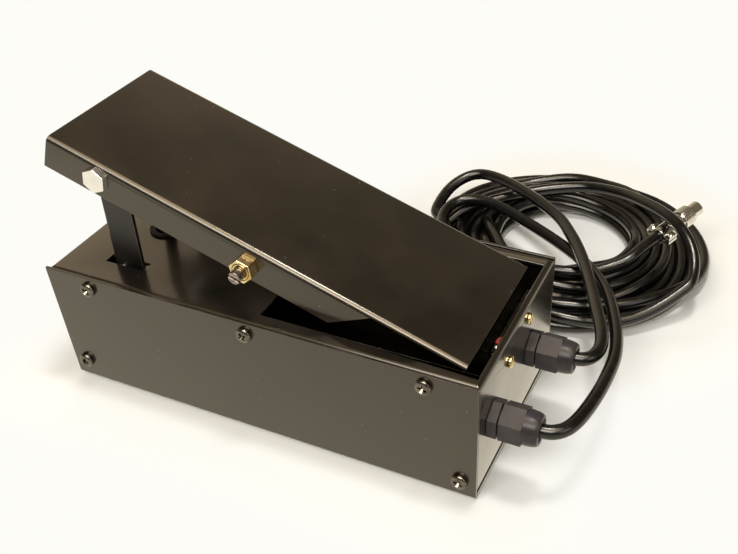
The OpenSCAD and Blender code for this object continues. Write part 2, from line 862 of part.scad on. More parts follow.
module rod_grommet() {
    groove_d = grommet_d + 2 * grommet_wall;
    color("#1c1c1c")
        translate([rod_hole_x, 0, lid_z])
            difference() {
                union() {
                    translate([0, 0, -grommet_lip_t])
                        cylinder(d = groove_d + 2 * grommet_lip, h = grommet_lip_t);
                    cylinder(d = groove_d - 2 * run_gap, h = sheet_t);
                    translate([0, 0, sheet_t])
                        cylinder(d = groove_d + 2 * grommet_lip, h = grommet_lip_t);
                }
                translate([0, 0, -grommet_lip_t - cut])
                    cylinder(d = grommet_d, h = sheet_t + 2 * grommet_lip_t + 2 * cut);
            }
}
module stop_pins() {
    color("silver")
        for (side = [-1, 1])
            rod_y(stop_d, stop_l, [stop_x, side * leg_y - stop_l / 2, stop_z]);
}

// A tube swept along points: rings of equal sides, closed at both ends
function tangent(p, i) = let (v = p[min(i + 1, len(p) - 1)] - p[max(i - 1, 0)]) v / norm(v);
function ring(c, t, r, n) =
    let (
        s = cross(t, [0, 0, 1]) / norm(cross(t, [0, 0, 1])),
        u = cross(s, t)
    )
    [for (k = [0 : n - 1]) c + r * (cos(360 * k / n) * s + sin(360 * k / n) * u)];
module tube(p, r, n) {
    last = len(p) - 1;
    polyhedron(
        points = [for (i = [0 : last]) each ring(p[i], tangent(p, i), r, n)],
        faces = concat(
            [[for (k = [0 : n - 1]) k]],
            [for (i = [0 : last - 1], k = [0 : n - 1])
                [i * n + k, (i + 1) * n + k, (i + 1) * n + (k + 1) % n, i * n + (k + 1) % n]],
            [[for (k = [n - 1 : -1 : 0]) last * n + k]]
        )
    );
}

// Return spring: a helix with closed end turns
function coil_rise(f) = min(max((f - spring_end) / (1 - 2 * spring_end), 0), 1);
function end_rise(f) = spring_rise * (min(f, spring_end) + max(f - 1 + spring_end, 0)) / spring_end;
function spring_point(f) = [
    collar_x + spring_r * cos(360 * spring_turns * f),
    spring_r * sin(360 * spring_turns * f),
    spring_z0 + wire_d * (0.5 + end_rise(f))
        + (spring_z1 - spring_z0 - wire_d * (1 + 2 * spring_rise)) * coil_rise(f)
];
module return_spring() {
    n = spring_turns * spring_steps;
    color("silver")
        tube([for (k = [0 : n]) spring_point(k / n)], wire_d / 2, spring_sides);
}
module spring_cup() {
    inner_d = spring_d + 2 * cup_gap;
    color("#9a9c9e")
        translate([collar_x, 0, tray_z])
            difference() {
                cylinder(d = inner_d + 2 * cup_wall, h = cup_h);
                translate([0, 0, cup_floor])
                    cylinder(d = inner_d, h = cup_h);
            }
}

// Sector rack: tooth k lies k pitches above the one that the pinion meets at rest
function polar(r, a) = [pin_x - r * cos(a), pin_z - r * sin(a)];
function rack_half(off) = (PI * gear_m / 4 - backlash / 2 + off * tan(pressure)) / rack_r * 180 / PI;
rack_teeth = [
    for (k = [rack_last : -1 : rack_first])
        let (a = mesh_angle - k * rack_pitch)
        each [
            polar(rack_r + rack_ded, a - rack_half(rack_ded)),
            polar(rack_r - rack_add, a - rack_half(-rack_add)),
            polar(rack_r - rack_add, a + rack_half(-rack_add)),
            polar(rack_r + rack_ded, a + rack_half(rack_ded))
        ]
];
rack_back = [
    for (k = [rack_first : rack_last])
        polar(rack_r + rack_depth, mesh_angle - k * rack_pitch)
];
module rack_spots_at() {
    for (a = rack_spots)
        translate([polar(rack_spot_r, a)[0], -leg_out, polar(rack_spot_r, a)[1]])
            children();
}
module gear_rack() {
    color("#d8d4c8")
        difference() {
            translate([0, -leg_in + rack_t / 2, 0])
                across(rack_t)
                    polygon(concat(rack_teeth, rack_back));
            rack_spots_at()
                rod_y(rack_screw_d + 2 * hole_gap, leg_t + rack_t + 2 * cut, [0, -cut, 0]);
        }
}
module rack_screws() {
    color("silver")
        rack_spots_at()
            rotate([90, 0, 0])
                pan_screw(rack_screw_d, rack_screw_l, rack_head_d, rack_head_h);
}

// Pinion with involute flanks; a gap faces the rack at rest
function involute(a) = tan(a) * 180 / PI - a;
pinion_base = pinion_r * cos(pressure);
pinion_tip = pinion_r + pinion_tip_share * gear_m;
pinion_root = pinion_r - pinion_root_share * gear_m;
function flank(r) =
    90 / pinion_n - backlash / 4 / pinion_r * 180 / PI
        + involute(pressure) - involute(acos(min(pinion_base / r, 1)));
pinion_radii = [
    for (k = [0 : bend_steps])
        pinion_base + (pinion_tip - pinion_base) * k / bend_steps
];
module pinion() {
    color("#d8d4c8")
        difference() {
            translate([pinion_x, (pinion_y0 + pinion_y1) / 2, pinion_z])
                across(pinion_w)
                    polygon([
                        for (j = [0 : pinion_n - 1])
                            let (c = 180 + mesh_angle + (j + 0.5) * 360 / pinion_n)
                            each concat(
                                [pinion_root * unit(c - flank(pinion_base))],
                                [for (r = pinion_radii) r * unit(c - flank(r))],
                                [for (r = reversed(pinion_radii)) r * unit(c + flank(r))],
                                [pinion_root * unit(c + flank(pinion_base))]
                            )
                    ]);
            rod_y(shaft_d + 2 * run_gap, pinion_w + 2 * cut, [pinion_x, pinion_y0 - cut, pinion_z]);
        }
}
module pot_shaft() {
    color("silver")
        rod_y(shaft_d, pot_y + plate_t + pot_case_l / 2 - pinion_y0, [pinion_x, pinion_y0, pinion_z]);
}
module pot_body() {
    color("#7a7d80")
        difference() {
            union() {
                rod_y(pot_d, pot_case_l, [pinion_x, pot_y + plate_t, pinion_z]);
                rod_y(bushing_d, bushing_l + cut, [pinion_x, pot_y + plate_t - bushing_l, pinion_z]);
            }
            rod_y(shaft_d + 2 * run_gap, bushing_l + pot_case_l / 2 + 2 * cut,
                [pinion_x, pot_y + plate_t - bushing_l - cut, pinion_z]);
        }
}
module pot_nut() {
    color("silver")
        translate([pinion_x, pot_y, pinion_z])
            rotate([90, 0, 0])
                difference() {
                    hex(pot_nut_af, pot_nut_t);
                    translate([0, 0, -cut])
                        cylinder(d = bushing_d + 2 * hole_gap, h = pot_nut_t + 2 * cut);
                }
}

// Brackets on the bottom plate: an upright plate and a foot towards +Y, for the switch towards -Y
module l_bracket(x, y, w, top, foot) {
    translate([x, 0, 0])
        along(w)
            bent_sheet([[y, top], [y, tray_z], [y + foot, tray_z]], plate_t, bend_r);
}
module bracket_spots_at() {
    for (x = [foot_screw_side, pot_plate_w - foot_screw_side])
        translate([pot_bracket_x + x, pot_y + pot_foot_in, tray_z + plate_t])
            children();
    for (x = [foot_screw_side, switch_plate_w - foot_screw_side])
        translate([switch_bracket_x + x, switch_plate_y + plate_t - switch_foot_in, tray_z + plate_t])
            children();
}
pot_bracket_x = pinion_x - pot_plate_w / 2 + pot_plate_off;
switch_bracket_x = case_x - switch_plate_off;
module foot_holes() {
    bracket_spots_at()
        translate([0, 0, -plate_t - cut])
            cylinder(d = bracket_screw_d + 2 * hole_gap, h = plate_t + 2 * cut);
}
module pot_bracket() {
    color("#9a9c9e")
        difference() {
            l_bracket(pot_bracket_x, pot_y, pot_plate_w, pot_plate_top, pot_foot_l);
            rod_y(bushing_d + 2 * hole_gap, plate_t + 2 * cut, [pinion_x, pot_y - cut, pinion_z]);
            foot_holes();
        }
}
module switch_bracket() {
    color("#9a9c9e")
        difference() {
            translate([0, 2 * switch_plate_y + plate_t, 0])
                mirror([0, 1, 0])
                    l_bracket(switch_bracket_x, switch_plate_y, switch_plate_w, switch_plate_top,
                        switch_foot_l);
            for (z = switch_spots)
                rod_y(switch_screw_d + 2 * hole_gap, plate_t + 2 * cut,
                    [case_x + case_d / 2, switch_plate_y - cut, case_z + z]);
            foot_holes();
        }
}
module bracket_screws() {
    color("silver")
        bracket_spots_at()
            pan_screw(bracket_screw_d, plate_t + sheet_t, bracket_head_d, bracket_head_h);
}

// Trimming potentiometer: case inside the flange, bushing and lock nut outside
module trim_pot_body() {
    color("#7a7d80")
        on_tread()
            difference() {
                union() {
                    rod_y(trim_case_d, trim_case_l, [-trim_back, -tread_w / 2 + tread_t, trim_h]);
                    rod_y(trim_bush_d, trim_nut_l + tread_t + cut,
                        [-trim_back, -tread_w / 2 - trim_nut_l, trim_h]);
                }
                rod_y(shaft_d + 2 * run_gap, trim_nut_l + tread_t + trim_case_l / 2 + cut,
                    [-trim_back, -tread_w / 2 - trim_nut_l - cut, trim_h]);
            }
}
module trim_lock_nut() {
    color("#c8a24a")
        on_tread()
            translate([-trim_back, -tread_w / 2, trim_h])
                rotate([90, 0, 0])
                    difference() {
                        cylinder(d = trim_nut_d, h = trim_nut_l, $fn = 6);
                        translate([0, 0, -cut])
                            cylinder(d = trim_bush_d + 2 * hole_gap, h = trim_nut_l + 2 * cut);
                    }
}
module trim_shaft() {
    color("#8b8a86")
        on_tread()
            translate([-trim_back, -tread_w / 2 - trim_out, trim_h])
                difference() {
                    rod_y(shaft_d, trim_out + tread_t + trim_case_l / 2 - move_gap, [0, 0, 0]);
                    translate([-shaft_d, -cut, -trim_slot_w / 2])
                        cube([2 * shaft_d, trim_slot_d + cut, trim_slot_w]);
                }
}

// Switch at the far leg
module switch_body() {
    color("#1e1e20")
        difference() {
            union() {
                translate([case_x, leg_y - case_w / 2, case_z])
                    cube([case_d, case_w, case_h]);
                for (side = [-1, 1])
                    translate([0, leg_y + side * (case_w - lug_t) / 2 - lug_t / 2, lever_z - lug_h / 2])
                        translate([lever_x - lever_eye_d / 2, 0, 0])
                            cube([case_x - lever_x + lever_eye_d / 2 + cut, lug_t, lug_h]);
                rod_y(lever_pin_d, case_w - lug_t, [lever_x, leg_y - (case_w - lug_t) / 2, lever_z]);
            }
            for (z = switch_spots)
                rod_y(switch_screw_d + 2 * hole_gap, case_w + 2 * cut,
                    [case_x + case_d / 2, leg_y - case_w / 2 - cut, case_z + z]);
            rod_x(button_d + 2 * run_gap, button_l, [case_x - cut, leg_y, lever_z + button_up]);
        }
}
module switch_screws() {
    color("silver")
        for (z = switch_spots)
            translate([case_x + case_d / 2, leg_y - case_w / 2, case_z + z])
                rotate([90, 0, 0])
                    pan_screw(switch_screw_d, switch_screw_l, switch_head_d, switch_head_h);
}
module switch_button() {
    color("#b03a2e")
        rod_x(button_d, case_x - button_x + button_l - 2 * cut, [button_x, leg_y, lever_z + button_up]);
}
module switch_lever() {
    color("silver")
        translate([lever_x, leg_y, lever_z])
            rotate([0, -lever_tilt, 0])
                difference() {
                    union() {
                        rod_y(lever_eye_d, lever_w, [0, -lever_w / 2, 0]);
                        translate([-lever_t / 2, -lever_w / 2, 0])
                            cube([lever_t, lever_w, lever_l + axle_d]);
                        for (side = [-1, 1])
                            translate([-lever_off, side * (lever_w - ear_t) / 2, lever_l])
                                across(ear_t) {
                                    circle(d = axle_d + 2 * ear_wall);
                                    translate([0, -axle_d])
                                        square([lever_off, 2 * axle_d]);
                                }
                        rod_y(axle_d, lever_w, [-lever_off, -lever_w / 2, lever_l]);
                    }
                    rod_y(lever_pin_d + 2 * run_gap, lever_w + 2 * cut, [0, -lever_w / 2 - cut, 0]);
                }
}
module switch_roller() {
    color("#e8e4d8")
        difference() {
            rod_y(roller_d, roller_w, [roller_x, leg_y - roller_w / 2, roller_z]);
            rod_y(axle_d + 2 * run_gap, roller_w + 2 * cut,
                [roller_x, leg_y - roller_w / 2 - cut, roller_z]);
        }
}

// Glands in the rear wall, each along +X from the wall's outer face
module glands_at() {
    for (y = [gland_near_y, gland_far_y])
        translate([rear_x, y, gland_z])
            rotate([0, 90, 0])
                children();
}
module gland_bodies() {
    neck_top = gland_flange_t + gland_nut_gap + gland_neck_l;
    color("#232227")
        glands_at()
            difference() {
                union() {
                    hex(gland_af, gland_flange_t);
                    cylinder(d = gland_neck_d, h = neck_top);
                    translate([0, 0, -sheet_t - gland_thread_l])
                        cylinder(d = gland_thread_d, h = sheet_t + gland_thread_l + cut);
                }
                translate([0, 0, -sheet_t - gland_thread_l - cut])
                    cylinder(d = cord_d + 2 * gland_bore_gap,
                        h = neck_top + sheet_t + gland_thread_l + 2 * cut);
            }
}
module gland_dome_nuts() {
    nut_z = gland_flange_t + gland_nut_gap;
    exit_r = gland_seal_d / 2 + hole_gap;
    lip_r = exit_r + gland_lip;
    dome_r = gland_af / 2;
    color("#2c2a30")
        glands_at()
            translate([0, 0, nut_z])
                difference() {
                    union() {
                        hex(gland_af, gland_nut_l);
                        translate([0, 0, gland_nut_l])
                            rotate_extrude()
                                polygon(concat(
                                    [[0, -cut], [dome_r, -cut]],
                                    [for (k = [0 : bend_steps])
                                        let (a = 90 * k / bend_steps)
                                        [lip_r + (dome_r - lip_r) * cos(a), gland_dome_l * sin(a)]],
                                    [[0, gland_dome_l]]
                                ));
                    }
                    translate([0, 0, -cut])
                        cylinder(d = gland_neck_d + 2 * hole_gap,
                            h = gland_neck_l + 2 * gland_nut_gap + cut);
                    cylinder(r = exit_r, h = gland_nut_l + gland_dome_l + cut);
                }
}
module gland_locknuts() {
    color("#232227")
        glands_at()
            translate([0, 0, -sheet_t - gland_lock_t])
                difference() {
                    hex(gland_lock_af, gland_lock_t);
                    translate([0, 0, -cut])
                        cylinder(d = gland_thread_d + 2 * hole_gap, h = gland_lock_t + 2 * cut);
                }
}
module gland_seals() {
    seal_z = gland_flange_t + gland_nut_gap + gland_neck_l;
    color("#1c1c1c")
        glands_at()
            translate([0, 0, seal_z])
                difference() {
                    cylinder(d = gland_seal_d, h = gland_out - seal_z);
                    translate([0, 0, -cut])
                        cylinder(d = cord_d + 2 * run_gap, h = gland_out - seal_z + 2 * cut);
                }
}

// Cords: a smooth way through the chosen points, with a ring every two diameters or so
cord_steps = 2;
function smooth(a, b, c, d, t) =
    0.5 * (2 * b + (c - a) * t + (2 * a - 5 * b + 4 * c - d) * t * t + (3 * b - a - 3 * c + d) * t * t * t);
function route(p) =
    let (n = len(p) - 1)
    concat(
        [for (i = [0 : n - 1], k = [0 : cord_steps - 1])
            smooth(p[max(i - 1, 0)], p[i], p[i + 1], p[min(i + 2, n)], k / cord_steps)],
        [p[n]]
    );
module cord(p) {
    color("#17171a")
        tube(route(p), cord_r, cord_sides);
}
module cord_near() {
    cord(concat([[cord_in, gland_near_y, gland_z], [gland_end, gland_near_y, gland_z]], near_route));
}
module cord_far() {
    cord(concat([[cord_in, gland_far_y, gland_z], [gland_end, gland_far_y, gland_z]], far_route));
}
function plug_axis(a) = [cos(a[1]) * cos(a[2]), cos(a[1]) * sin(a[2]), -sin(a[1])];
module cord_near_tail() {
    cord(concat(near_tail_route, [plug_a_at, plug_a_at + saddle_l * plug_axis(plug_a_turn)]));
}
module cord_far_tail() {
    cord(concat(far_tail_route, [plug_b_at, plug_b_at + saddle_l * plug_axis(plug_b_turn)]));
}

// Coils: rings that hold three turns abreast, two deep for the far cord and three deep for the near cord
module coil(r0, r1, deep) {
    color("#17171a")
        translate([coil_at[0], coil_at[1], 0])
            rotate_extrude($fn = 96)
                translate([r0, 0])
                    square([r1 - r0, deep * cord_d]);
}
module coil_outer() { coil(coil_mid_r + coil_gap, coil_out_r, 2); }
module coil_inner() { coil(coil_in_r, coil_mid_r, 3); }

// Round plugs, built along +Z from the cord's end and laid along their own axis
module plug_a() { translate(plug_a_at) rotate(plug_a_turn) rotate([0, 90, 0]) children(); }
module plug_b() { translate(plug_b_at) rotate(plug_b_turn) rotate([0, 90, 0]) children(); }
module saddle_holes() {
    for (side = [-1, 1])
        translate([0, side * (saddle_ear - plug_head_d / 2), saddle_ear_l / 2])
            rotate([0, 90, 0])
                cylinder(d = plug_screw_d + 2 * hole_gap, h = saddle_d, center = true);
}
module plug_shell() {
    neck_z = saddle_l + plug_body_l;
    color("#c9ccd0")
        difference() {
            union() {
                cylinder(d = saddle_d, h = saddle_l);
                translate([0, -saddle_ear, 0])
                    cube([saddle_ear_t, 2 * saddle_ear, saddle_ear_l]);
                translate([0, 0, saddle_l])
                    cylinder(d = plug_d, h = plug_body_l);
                translate([0, 0, neck_z])
                    cylinder(d = plug_neck_d, h = plug_l - neck_z);
            }
            translate([-saddle_d, -saddle_d, -cut])
                cube([saddle_d + saddle_split, 2 * saddle_d, saddle_ear_l + saddle_split + cut]);
            translate([0, 0, -cut])
                cylinder(d = cord_d + 2 * hole_gap, h = saddle_l + plug_body_l / 2);
            translate([0, 0, plug_l - insert_in - insert_l])
                cylinder(d = insert_d, h = insert_in + insert_l + cut);
            saddle_holes();
        }
}
module plug_ring() {
    color("#c9ccd0")
        translate([0, 0, saddle_l + plug_body_l + plug_gap])
            difference() {
                cylinder(d = plug_ring_d, h = plug_ring_l);
                translate([0, 0, -cut])
                    cylinder(d = plug_neck_d + 2 * run_gap, h = plug_ring_l + 2 * cut);
            }
}
module plug_insert() {
    color("#151515")
        translate([0, 0, plug_l - insert_in - insert_l])
            difference() {
                cylinder(d = insert_d - 2 * run_gap, h = insert_l);
                for (k = [0 : contact_n - 1])
                    rotate(360 * k / contact_n)
                        translate([contact_r, 0, insert_l / 3])
                            cylinder(d = contact_d, h = insert_l);
            }
}
module plug_clamp() {
    color("#c9ccd0")
        difference() {
            union() {
                cylinder(d = saddle_d, h = saddle_ear_l);
                translate([-saddle_ear_t, -saddle_ear, 0])
                    cube([saddle_ear_t, 2 * saddle_ear, saddle_ear_l]);
            }
            translate([-saddle_split, -saddle_d, -cut])
                cube([saddle_d, 2 * saddle_d, saddle_l + 2 * cut]);
            translate([0, 0, -cut])
                cylinder(d = cord_d + 2 * hole_gap, h = saddle_l + 2 * cut);
            saddle_holes();
        }
}
module plug_screws() {
    color("#b9bcc0")
        for (side = [-1, 1])
            translate([-saddle_ear_t, side * (saddle_ear - plug_head_d / 2), saddle_ear_l / 2])
                rotate([0, -90, 0])
                    pan_screw(plug_screw_d, 2 * saddle_ear_t, plug_head_d, plug_head_h);
}
module plug_a_shell() { plug_a() plug_shell(); }
module plug_a_ring() { plug_a() plug_ring(); }
module plug_a_insert() { plug_a() plug_insert(); }
module plug_a_clamp() { plug_a() plug_clamp(); }
module plug_a_screws() { plug_a() plug_screws(); }
module plug_b_shell() { plug_b() plug_shell(); }
module plug_b_ring() { plug_b() plug_ring(); }
module plug_b_insert() { plug_b() plug_insert(); }
module plug_b_clamp() { plug_b() plug_clamp(); }
module plug_b_screws() { plug_b() plug_screws(); }

base_shell();
base_tray();
side_plate_near();
side_plate_far();
side_screws();
side_nuts();
tray_screws();
rubber_feet();
hinge_fixed_leaf();
hinge_pin();
hinge_screws();
hinge_moving_leaf();
tread();
leg_yoke();
cross_bolt();
cross_nut();
spacer_sleeves();
push_rod();
rod_collar();
rod_grommet();
return_spring();
spring_cup();
stop_pins();
gear_rack();
rack_screws();
pinion();
pot_shaft();
pot_body();
pot_nut();
pot_bracket();
bracket_screws();
trim_pot_body();
trim_lock_nut();
trim_shaft();
switch_bracket();
switch_body();
switch_screws();
switch_button();
switch_lever();
switch_roller();
gland_bodies();
gland_dome_nuts();
gland_locknuts();
gland_seals();
cord_near();
cord_far();
coil_outer();
coil_inner();
cord_near_tail();
cord_far_tail();
plug_a_shell();
plug_a_ring();
plug_a_insert();
plug_a_clamp();
plug_a_screws();
plug_b_shell();
plug_b_ring();
plug_b_insert();
plug_b_clamp();
plug_b_screws();
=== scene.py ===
import json
import math

import bmesh
import bpy
import numpy as np
from mathutils import Matrix, Vector

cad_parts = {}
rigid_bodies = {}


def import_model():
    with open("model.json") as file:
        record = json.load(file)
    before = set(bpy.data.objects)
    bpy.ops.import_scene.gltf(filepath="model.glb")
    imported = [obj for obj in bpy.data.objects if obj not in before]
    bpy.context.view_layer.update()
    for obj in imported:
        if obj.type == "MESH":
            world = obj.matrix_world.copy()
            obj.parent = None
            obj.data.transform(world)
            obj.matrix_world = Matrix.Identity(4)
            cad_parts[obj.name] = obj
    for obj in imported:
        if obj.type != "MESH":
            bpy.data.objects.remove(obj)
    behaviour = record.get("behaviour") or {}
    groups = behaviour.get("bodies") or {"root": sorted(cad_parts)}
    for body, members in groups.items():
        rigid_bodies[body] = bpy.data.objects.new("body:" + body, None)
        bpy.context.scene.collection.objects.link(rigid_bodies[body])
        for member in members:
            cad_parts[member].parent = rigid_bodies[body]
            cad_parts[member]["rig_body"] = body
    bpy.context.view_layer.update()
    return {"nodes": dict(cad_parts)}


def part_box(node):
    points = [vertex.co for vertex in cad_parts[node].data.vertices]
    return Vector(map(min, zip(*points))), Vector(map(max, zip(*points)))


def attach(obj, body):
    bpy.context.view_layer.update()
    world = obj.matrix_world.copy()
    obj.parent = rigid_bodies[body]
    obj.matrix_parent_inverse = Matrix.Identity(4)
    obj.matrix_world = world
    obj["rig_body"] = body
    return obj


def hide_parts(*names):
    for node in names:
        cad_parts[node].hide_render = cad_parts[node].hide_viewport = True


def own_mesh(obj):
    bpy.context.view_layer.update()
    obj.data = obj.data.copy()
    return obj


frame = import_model()
nodes = frame["nodes"]
scene = bpy.context.scene
scene.view_settings.view_transform = "Standard"
mm = 0.001
tiny = 1e-6  # merges corners, in metres, and keeps divisions off zero


def linear(hexText):  # sRGB hex to the linear colour that sockets take
    parts = [int(hexText[i:i + 2], 16) / 255 for i in (1, 3, 5)]
    return tuple(c / 12.92 if c <= 0.04045 else ((c + 0.055) / 1.055) ** 2.4 for c in parts) + (1.0,)


def perMm(size):  # pattern scale whose features are this many millimetres across
    return 1 / (size * mm)


def camel(name):  # side_screws becomes sideScrews
    first, *rest = name.split("_")
    return first + "".join(word.capitalize() for word in rest)


def addNode(tree, kind, settings=None, links=None):
    node = tree.nodes.new(kind)
    for key, value in (settings or {}).items():
        if key == "stops":  # colour ramp, as pairs of position and colour
            elements = node.color_ramp.elements
            while len(elements) < len(value):
                elements.new(0.5)
            for element, (position, colour) in zip(elements, value):
                element.position = position
                element.color = colour
        elif isinstance(key, str) and hasattr(node, key):
            setattr(node, key, value)
        else:
            node.inputs[key].default_value = value
    for key, socket in (links or {}).items():
        tree.links.new(socket, node.inputs[key])
    return node


def emptyTree(owner):  # the node tree of a material or a world, cleared
    owner.use_nodes = True
    owner.node_tree.nodes.clear()
    return owner.node_tree


def addObject(name, data):
    obj = bpy.data.objects.new(name, data)
    scene.collection.objects.link(obj)
    return obj


def addPiece(name, data, body, replaced=()):
    piece = addObject(name, data)
    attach(piece, body)
    if replaced:
        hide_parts(*replaced)
    return piece


def meshFrom(bm, name):
    mesh = bpy.data.meshes.new(name)
    bm.to_mesh(mesh)
    bm.free()
    return mesh


def evaluatedMesh(obj):  # what the object's modifiers make, as a plain mesh
    depsgraph = bpy.context.evaluated_depsgraph_get()
    return bpy.data.meshes.new_from_object(obj.evaluated_get(depsgraph), depsgraph=depsgraph)


def shadeMesh(mesh, sharpFrom):  # smooth, but sharp at edges that turn by more than this many degrees
    mesh.shade_smooth()
    mesh.set_sharp_from_angle(angle=math.radians(sharpFrom))


# Camera at the photograph's angle, for an image of 738 by 554
cameraSet = {"place": (0.20139, -0.33931, 0.33848), "turn": (56.047, 1.651, 25.196), "lens": 49.683,
             "sensor": 36, "shift": (-0.01864, -0.03943), "clipFrom": 0.01}
cameraData = bpy.data.cameras.new("photoCamera")
cameraData.sensor_width = cameraSet["sensor"]
cameraData.lens = cameraSet["lens"]
cameraData.shift_x, cameraData.shift_y = cameraSet["shift"]
cameraData.clip_start = cameraSet["clipFrom"]
camera = addObject("photoCamera", cameraData)
camera.location = cameraSet["place"]
camera.rotation_euler = [math.radians(a) for a in cameraSet["turn"]]
scene.camera = camera

# Floor of off-white paper, matt near the object, where it keeps the shadow, and white farther out (metres)
floorSet = {"radius": 4.0, "sides": 64, "paper": "#f6f5f0", "white": "#fdfcf7", "mirrored": "#fff5df",
            "fadeFrom": 0.002, "fadeTo": 0.055, "baseMiddle": (-0.0105, 0.0, 0.0),
            "baseHalf": (0.11, 0.051, 1.0), "coilMiddle": (0.078, 0.15, 0.0), "coilRadius": 0.088}


def layFloor(s):
    bm = bmesh.new()
    bmesh.ops.create_circle(bm, cap_ends=True, segments=s["sides"], radius=s["radius"])
    floor = addObject("paleFloor", meshFrom(bm, "paleFloor"))
    material = bpy.data.materials.new("paperSweep")
    tree = emptyTree(material)
    matt = addNode(tree, "ShaderNodeBsdfDiffuse", {"Color": linear(s["paper"])})
    rays = addNode(tree, "ShaderNodeLightPath").outputs
    tone = addNode(tree, "ShaderNodeMixRGB", {"Color1": linear(s["mirrored"]), "Color2": linear(s["white"])},
                   {"Fac": rays["Is Camera Ray"]})
    white = addNode(tree, "ShaderNodeEmission", {"Strength": 1.0}, {"Color": tone.outputs[0]})
    mirror = addNode(tree, "ShaderNodeMath", {"operation": "MAXIMUM"},
                     {0: rays["Is Glossy Ray"], 1: rays["Is Transmission Ray"]})
    coords = addNode(tree, "ShaderNodeTexCoord").outputs["Object"]
    outside = addNode(tree, "ShaderNodeVectorMath", {"operation": "SUBTRACT", 1: s["baseMiddle"]},
                      {0: coords})
    outside = addNode(tree, "ShaderNodeVectorMath", {"operation": "ABSOLUTE"}, {0: outside.outputs[0]})
    outside = addNode(tree, "ShaderNodeVectorMath", {"operation": "SUBTRACT", 1: s["baseHalf"]},
                      {0: outside.outputs[0]})
    outside = addNode(tree, "ShaderNodeVectorMath", {"operation": "MAXIMUM"}, {0: outside.outputs[0]})
    fromBase = addNode(tree, "ShaderNodeVectorMath", {"operation": "LENGTH"}, {0: outside.outputs[0]})
    fromCoil = addNode(tree, "ShaderNodeVectorMath", {"operation": "DISTANCE", 1: s["coilMiddle"]},
                       {0: coords})
    fromCoil = addNode(tree, "ShaderNodeMath", {"operation": "SUBTRACT", 1: s["coilRadius"]},
                       {0: fromCoil.outputs["Value"]})
    nearest = addNode(tree, "ShaderNodeMath", {"operation": "MINIMUM"},
                      {0: fromBase.outputs["Value"], 1: fromCoil.outputs[0]})
    far = addNode(tree, "ShaderNodeMapRange", {"interpolation_type": "SMOOTHSTEP", "From Min": s["fadeFrom"],
                                               "From Max": s["fadeTo"]}, {"Value": nearest.outputs[0]})
    direct = addNode(tree, "ShaderNodeMath", {"operation": "MULTIPLY"},
                     {0: rays["Is Camera Ray"], 1: far.outputs[0]})
    factor = addNode(tree, "ShaderNodeMath", {"operation": "MAXIMUM"},
                     {0: direct.outputs[0], 1: mirror.outputs[0]})
    mixed = addNode(tree, "ShaderNodeMixShader",
                    links={0: factor.outputs[0], 1: matt.outputs[0], 2: white.outputs[0]})
    addNode(tree, "ShaderNodeOutputMaterial", links={"Surface": mixed.outputs[0]})
    floor.data.materials.append(material)


layFloor(floorSet)

# Room: dim, brighter towards a window at the back left, with a pale ceiling that shows only in gloss
roomSet = {"colour": "#f6e0bd", "white": floorSet["white"],
           "window": {"towards": (-0.745, 0.596, 0.298), "from": 0.45, "to": 0.98, "power": 2.8,
                      "dim": 0.18, "bright": 0.9},
           "ceiling": {"towards": (0.12, -0.3, 0.945), "from": 0.84, "to": 0.96, "bright": 5.0}}


def lightRoom(s):
    world = bpy.data.worlds.new("studioRoom")
    tree = emptyTree(world)
    rays = addNode(tree, "ShaderNodeLightPath").outputs
    towards = addNode(tree, "ShaderNodeTexCoord").outputs["Generated"]
    window = s["window"]
    facing = addNode(tree, "ShaderNodeVectorMath", {"operation": "DOT_PRODUCT", 1: window["towards"]},
                     {0: towards})
    facing = addNode(tree, "ShaderNodeMapRange", {"From Min": window["from"], "From Max": window["to"]},
                     {"Value": facing.outputs["Value"]})
    facing = addNode(tree, "ShaderNodeMath", {"operation": "POWER", 1: window["power"]},
                     {0: facing.outputs[0]})
    strength = addNode(tree, "ShaderNodeMapRange", {"To Min": window["dim"], "To Max": window["bright"]},
                       {"Value": facing.outputs[0]})
    ceiling = s["ceiling"]
    above = addNode(tree, "ShaderNodeVectorMath", {"operation": "DOT_PRODUCT", 1: ceiling["towards"]},
                    {0: towards})
    above = addNode(tree, "ShaderNodeMapRange",
                    {"interpolation_type": "SMOOTHSTEP", "From Min": ceiling["from"],
                     "From Max": ceiling["to"], "To Max": ceiling["bright"]},
                    {"Value": above.outputs["Value"]})
    strength = addNode(tree, "ShaderNodeMath", {"operation": "MULTIPLY_ADD"},
                       {0: above.outputs[0], 1: rays["Is Glossy Ray"], 2: strength.outputs[0]})
    dim = addNode(tree, "ShaderNodeBackground", {"Color": linear(s["colour"])},
                  {"Strength": strength.outputs[0]})
    white = addNode(tree, "ShaderNodeBackground", {"Color": linear(s["white"]), "Strength": 1.0})
    mixed = addNode(tree, "ShaderNodeMixShader",
                    links={0: rays["Is Camera Ray"], 1: dim.outputs[0], 2: white.outputs[0]})
    addNode(tree, "ShaderNodeOutputWorld", links={"Surface": mixed.outputs[0]})
    scene.world = world


lightRoom(roomSet)

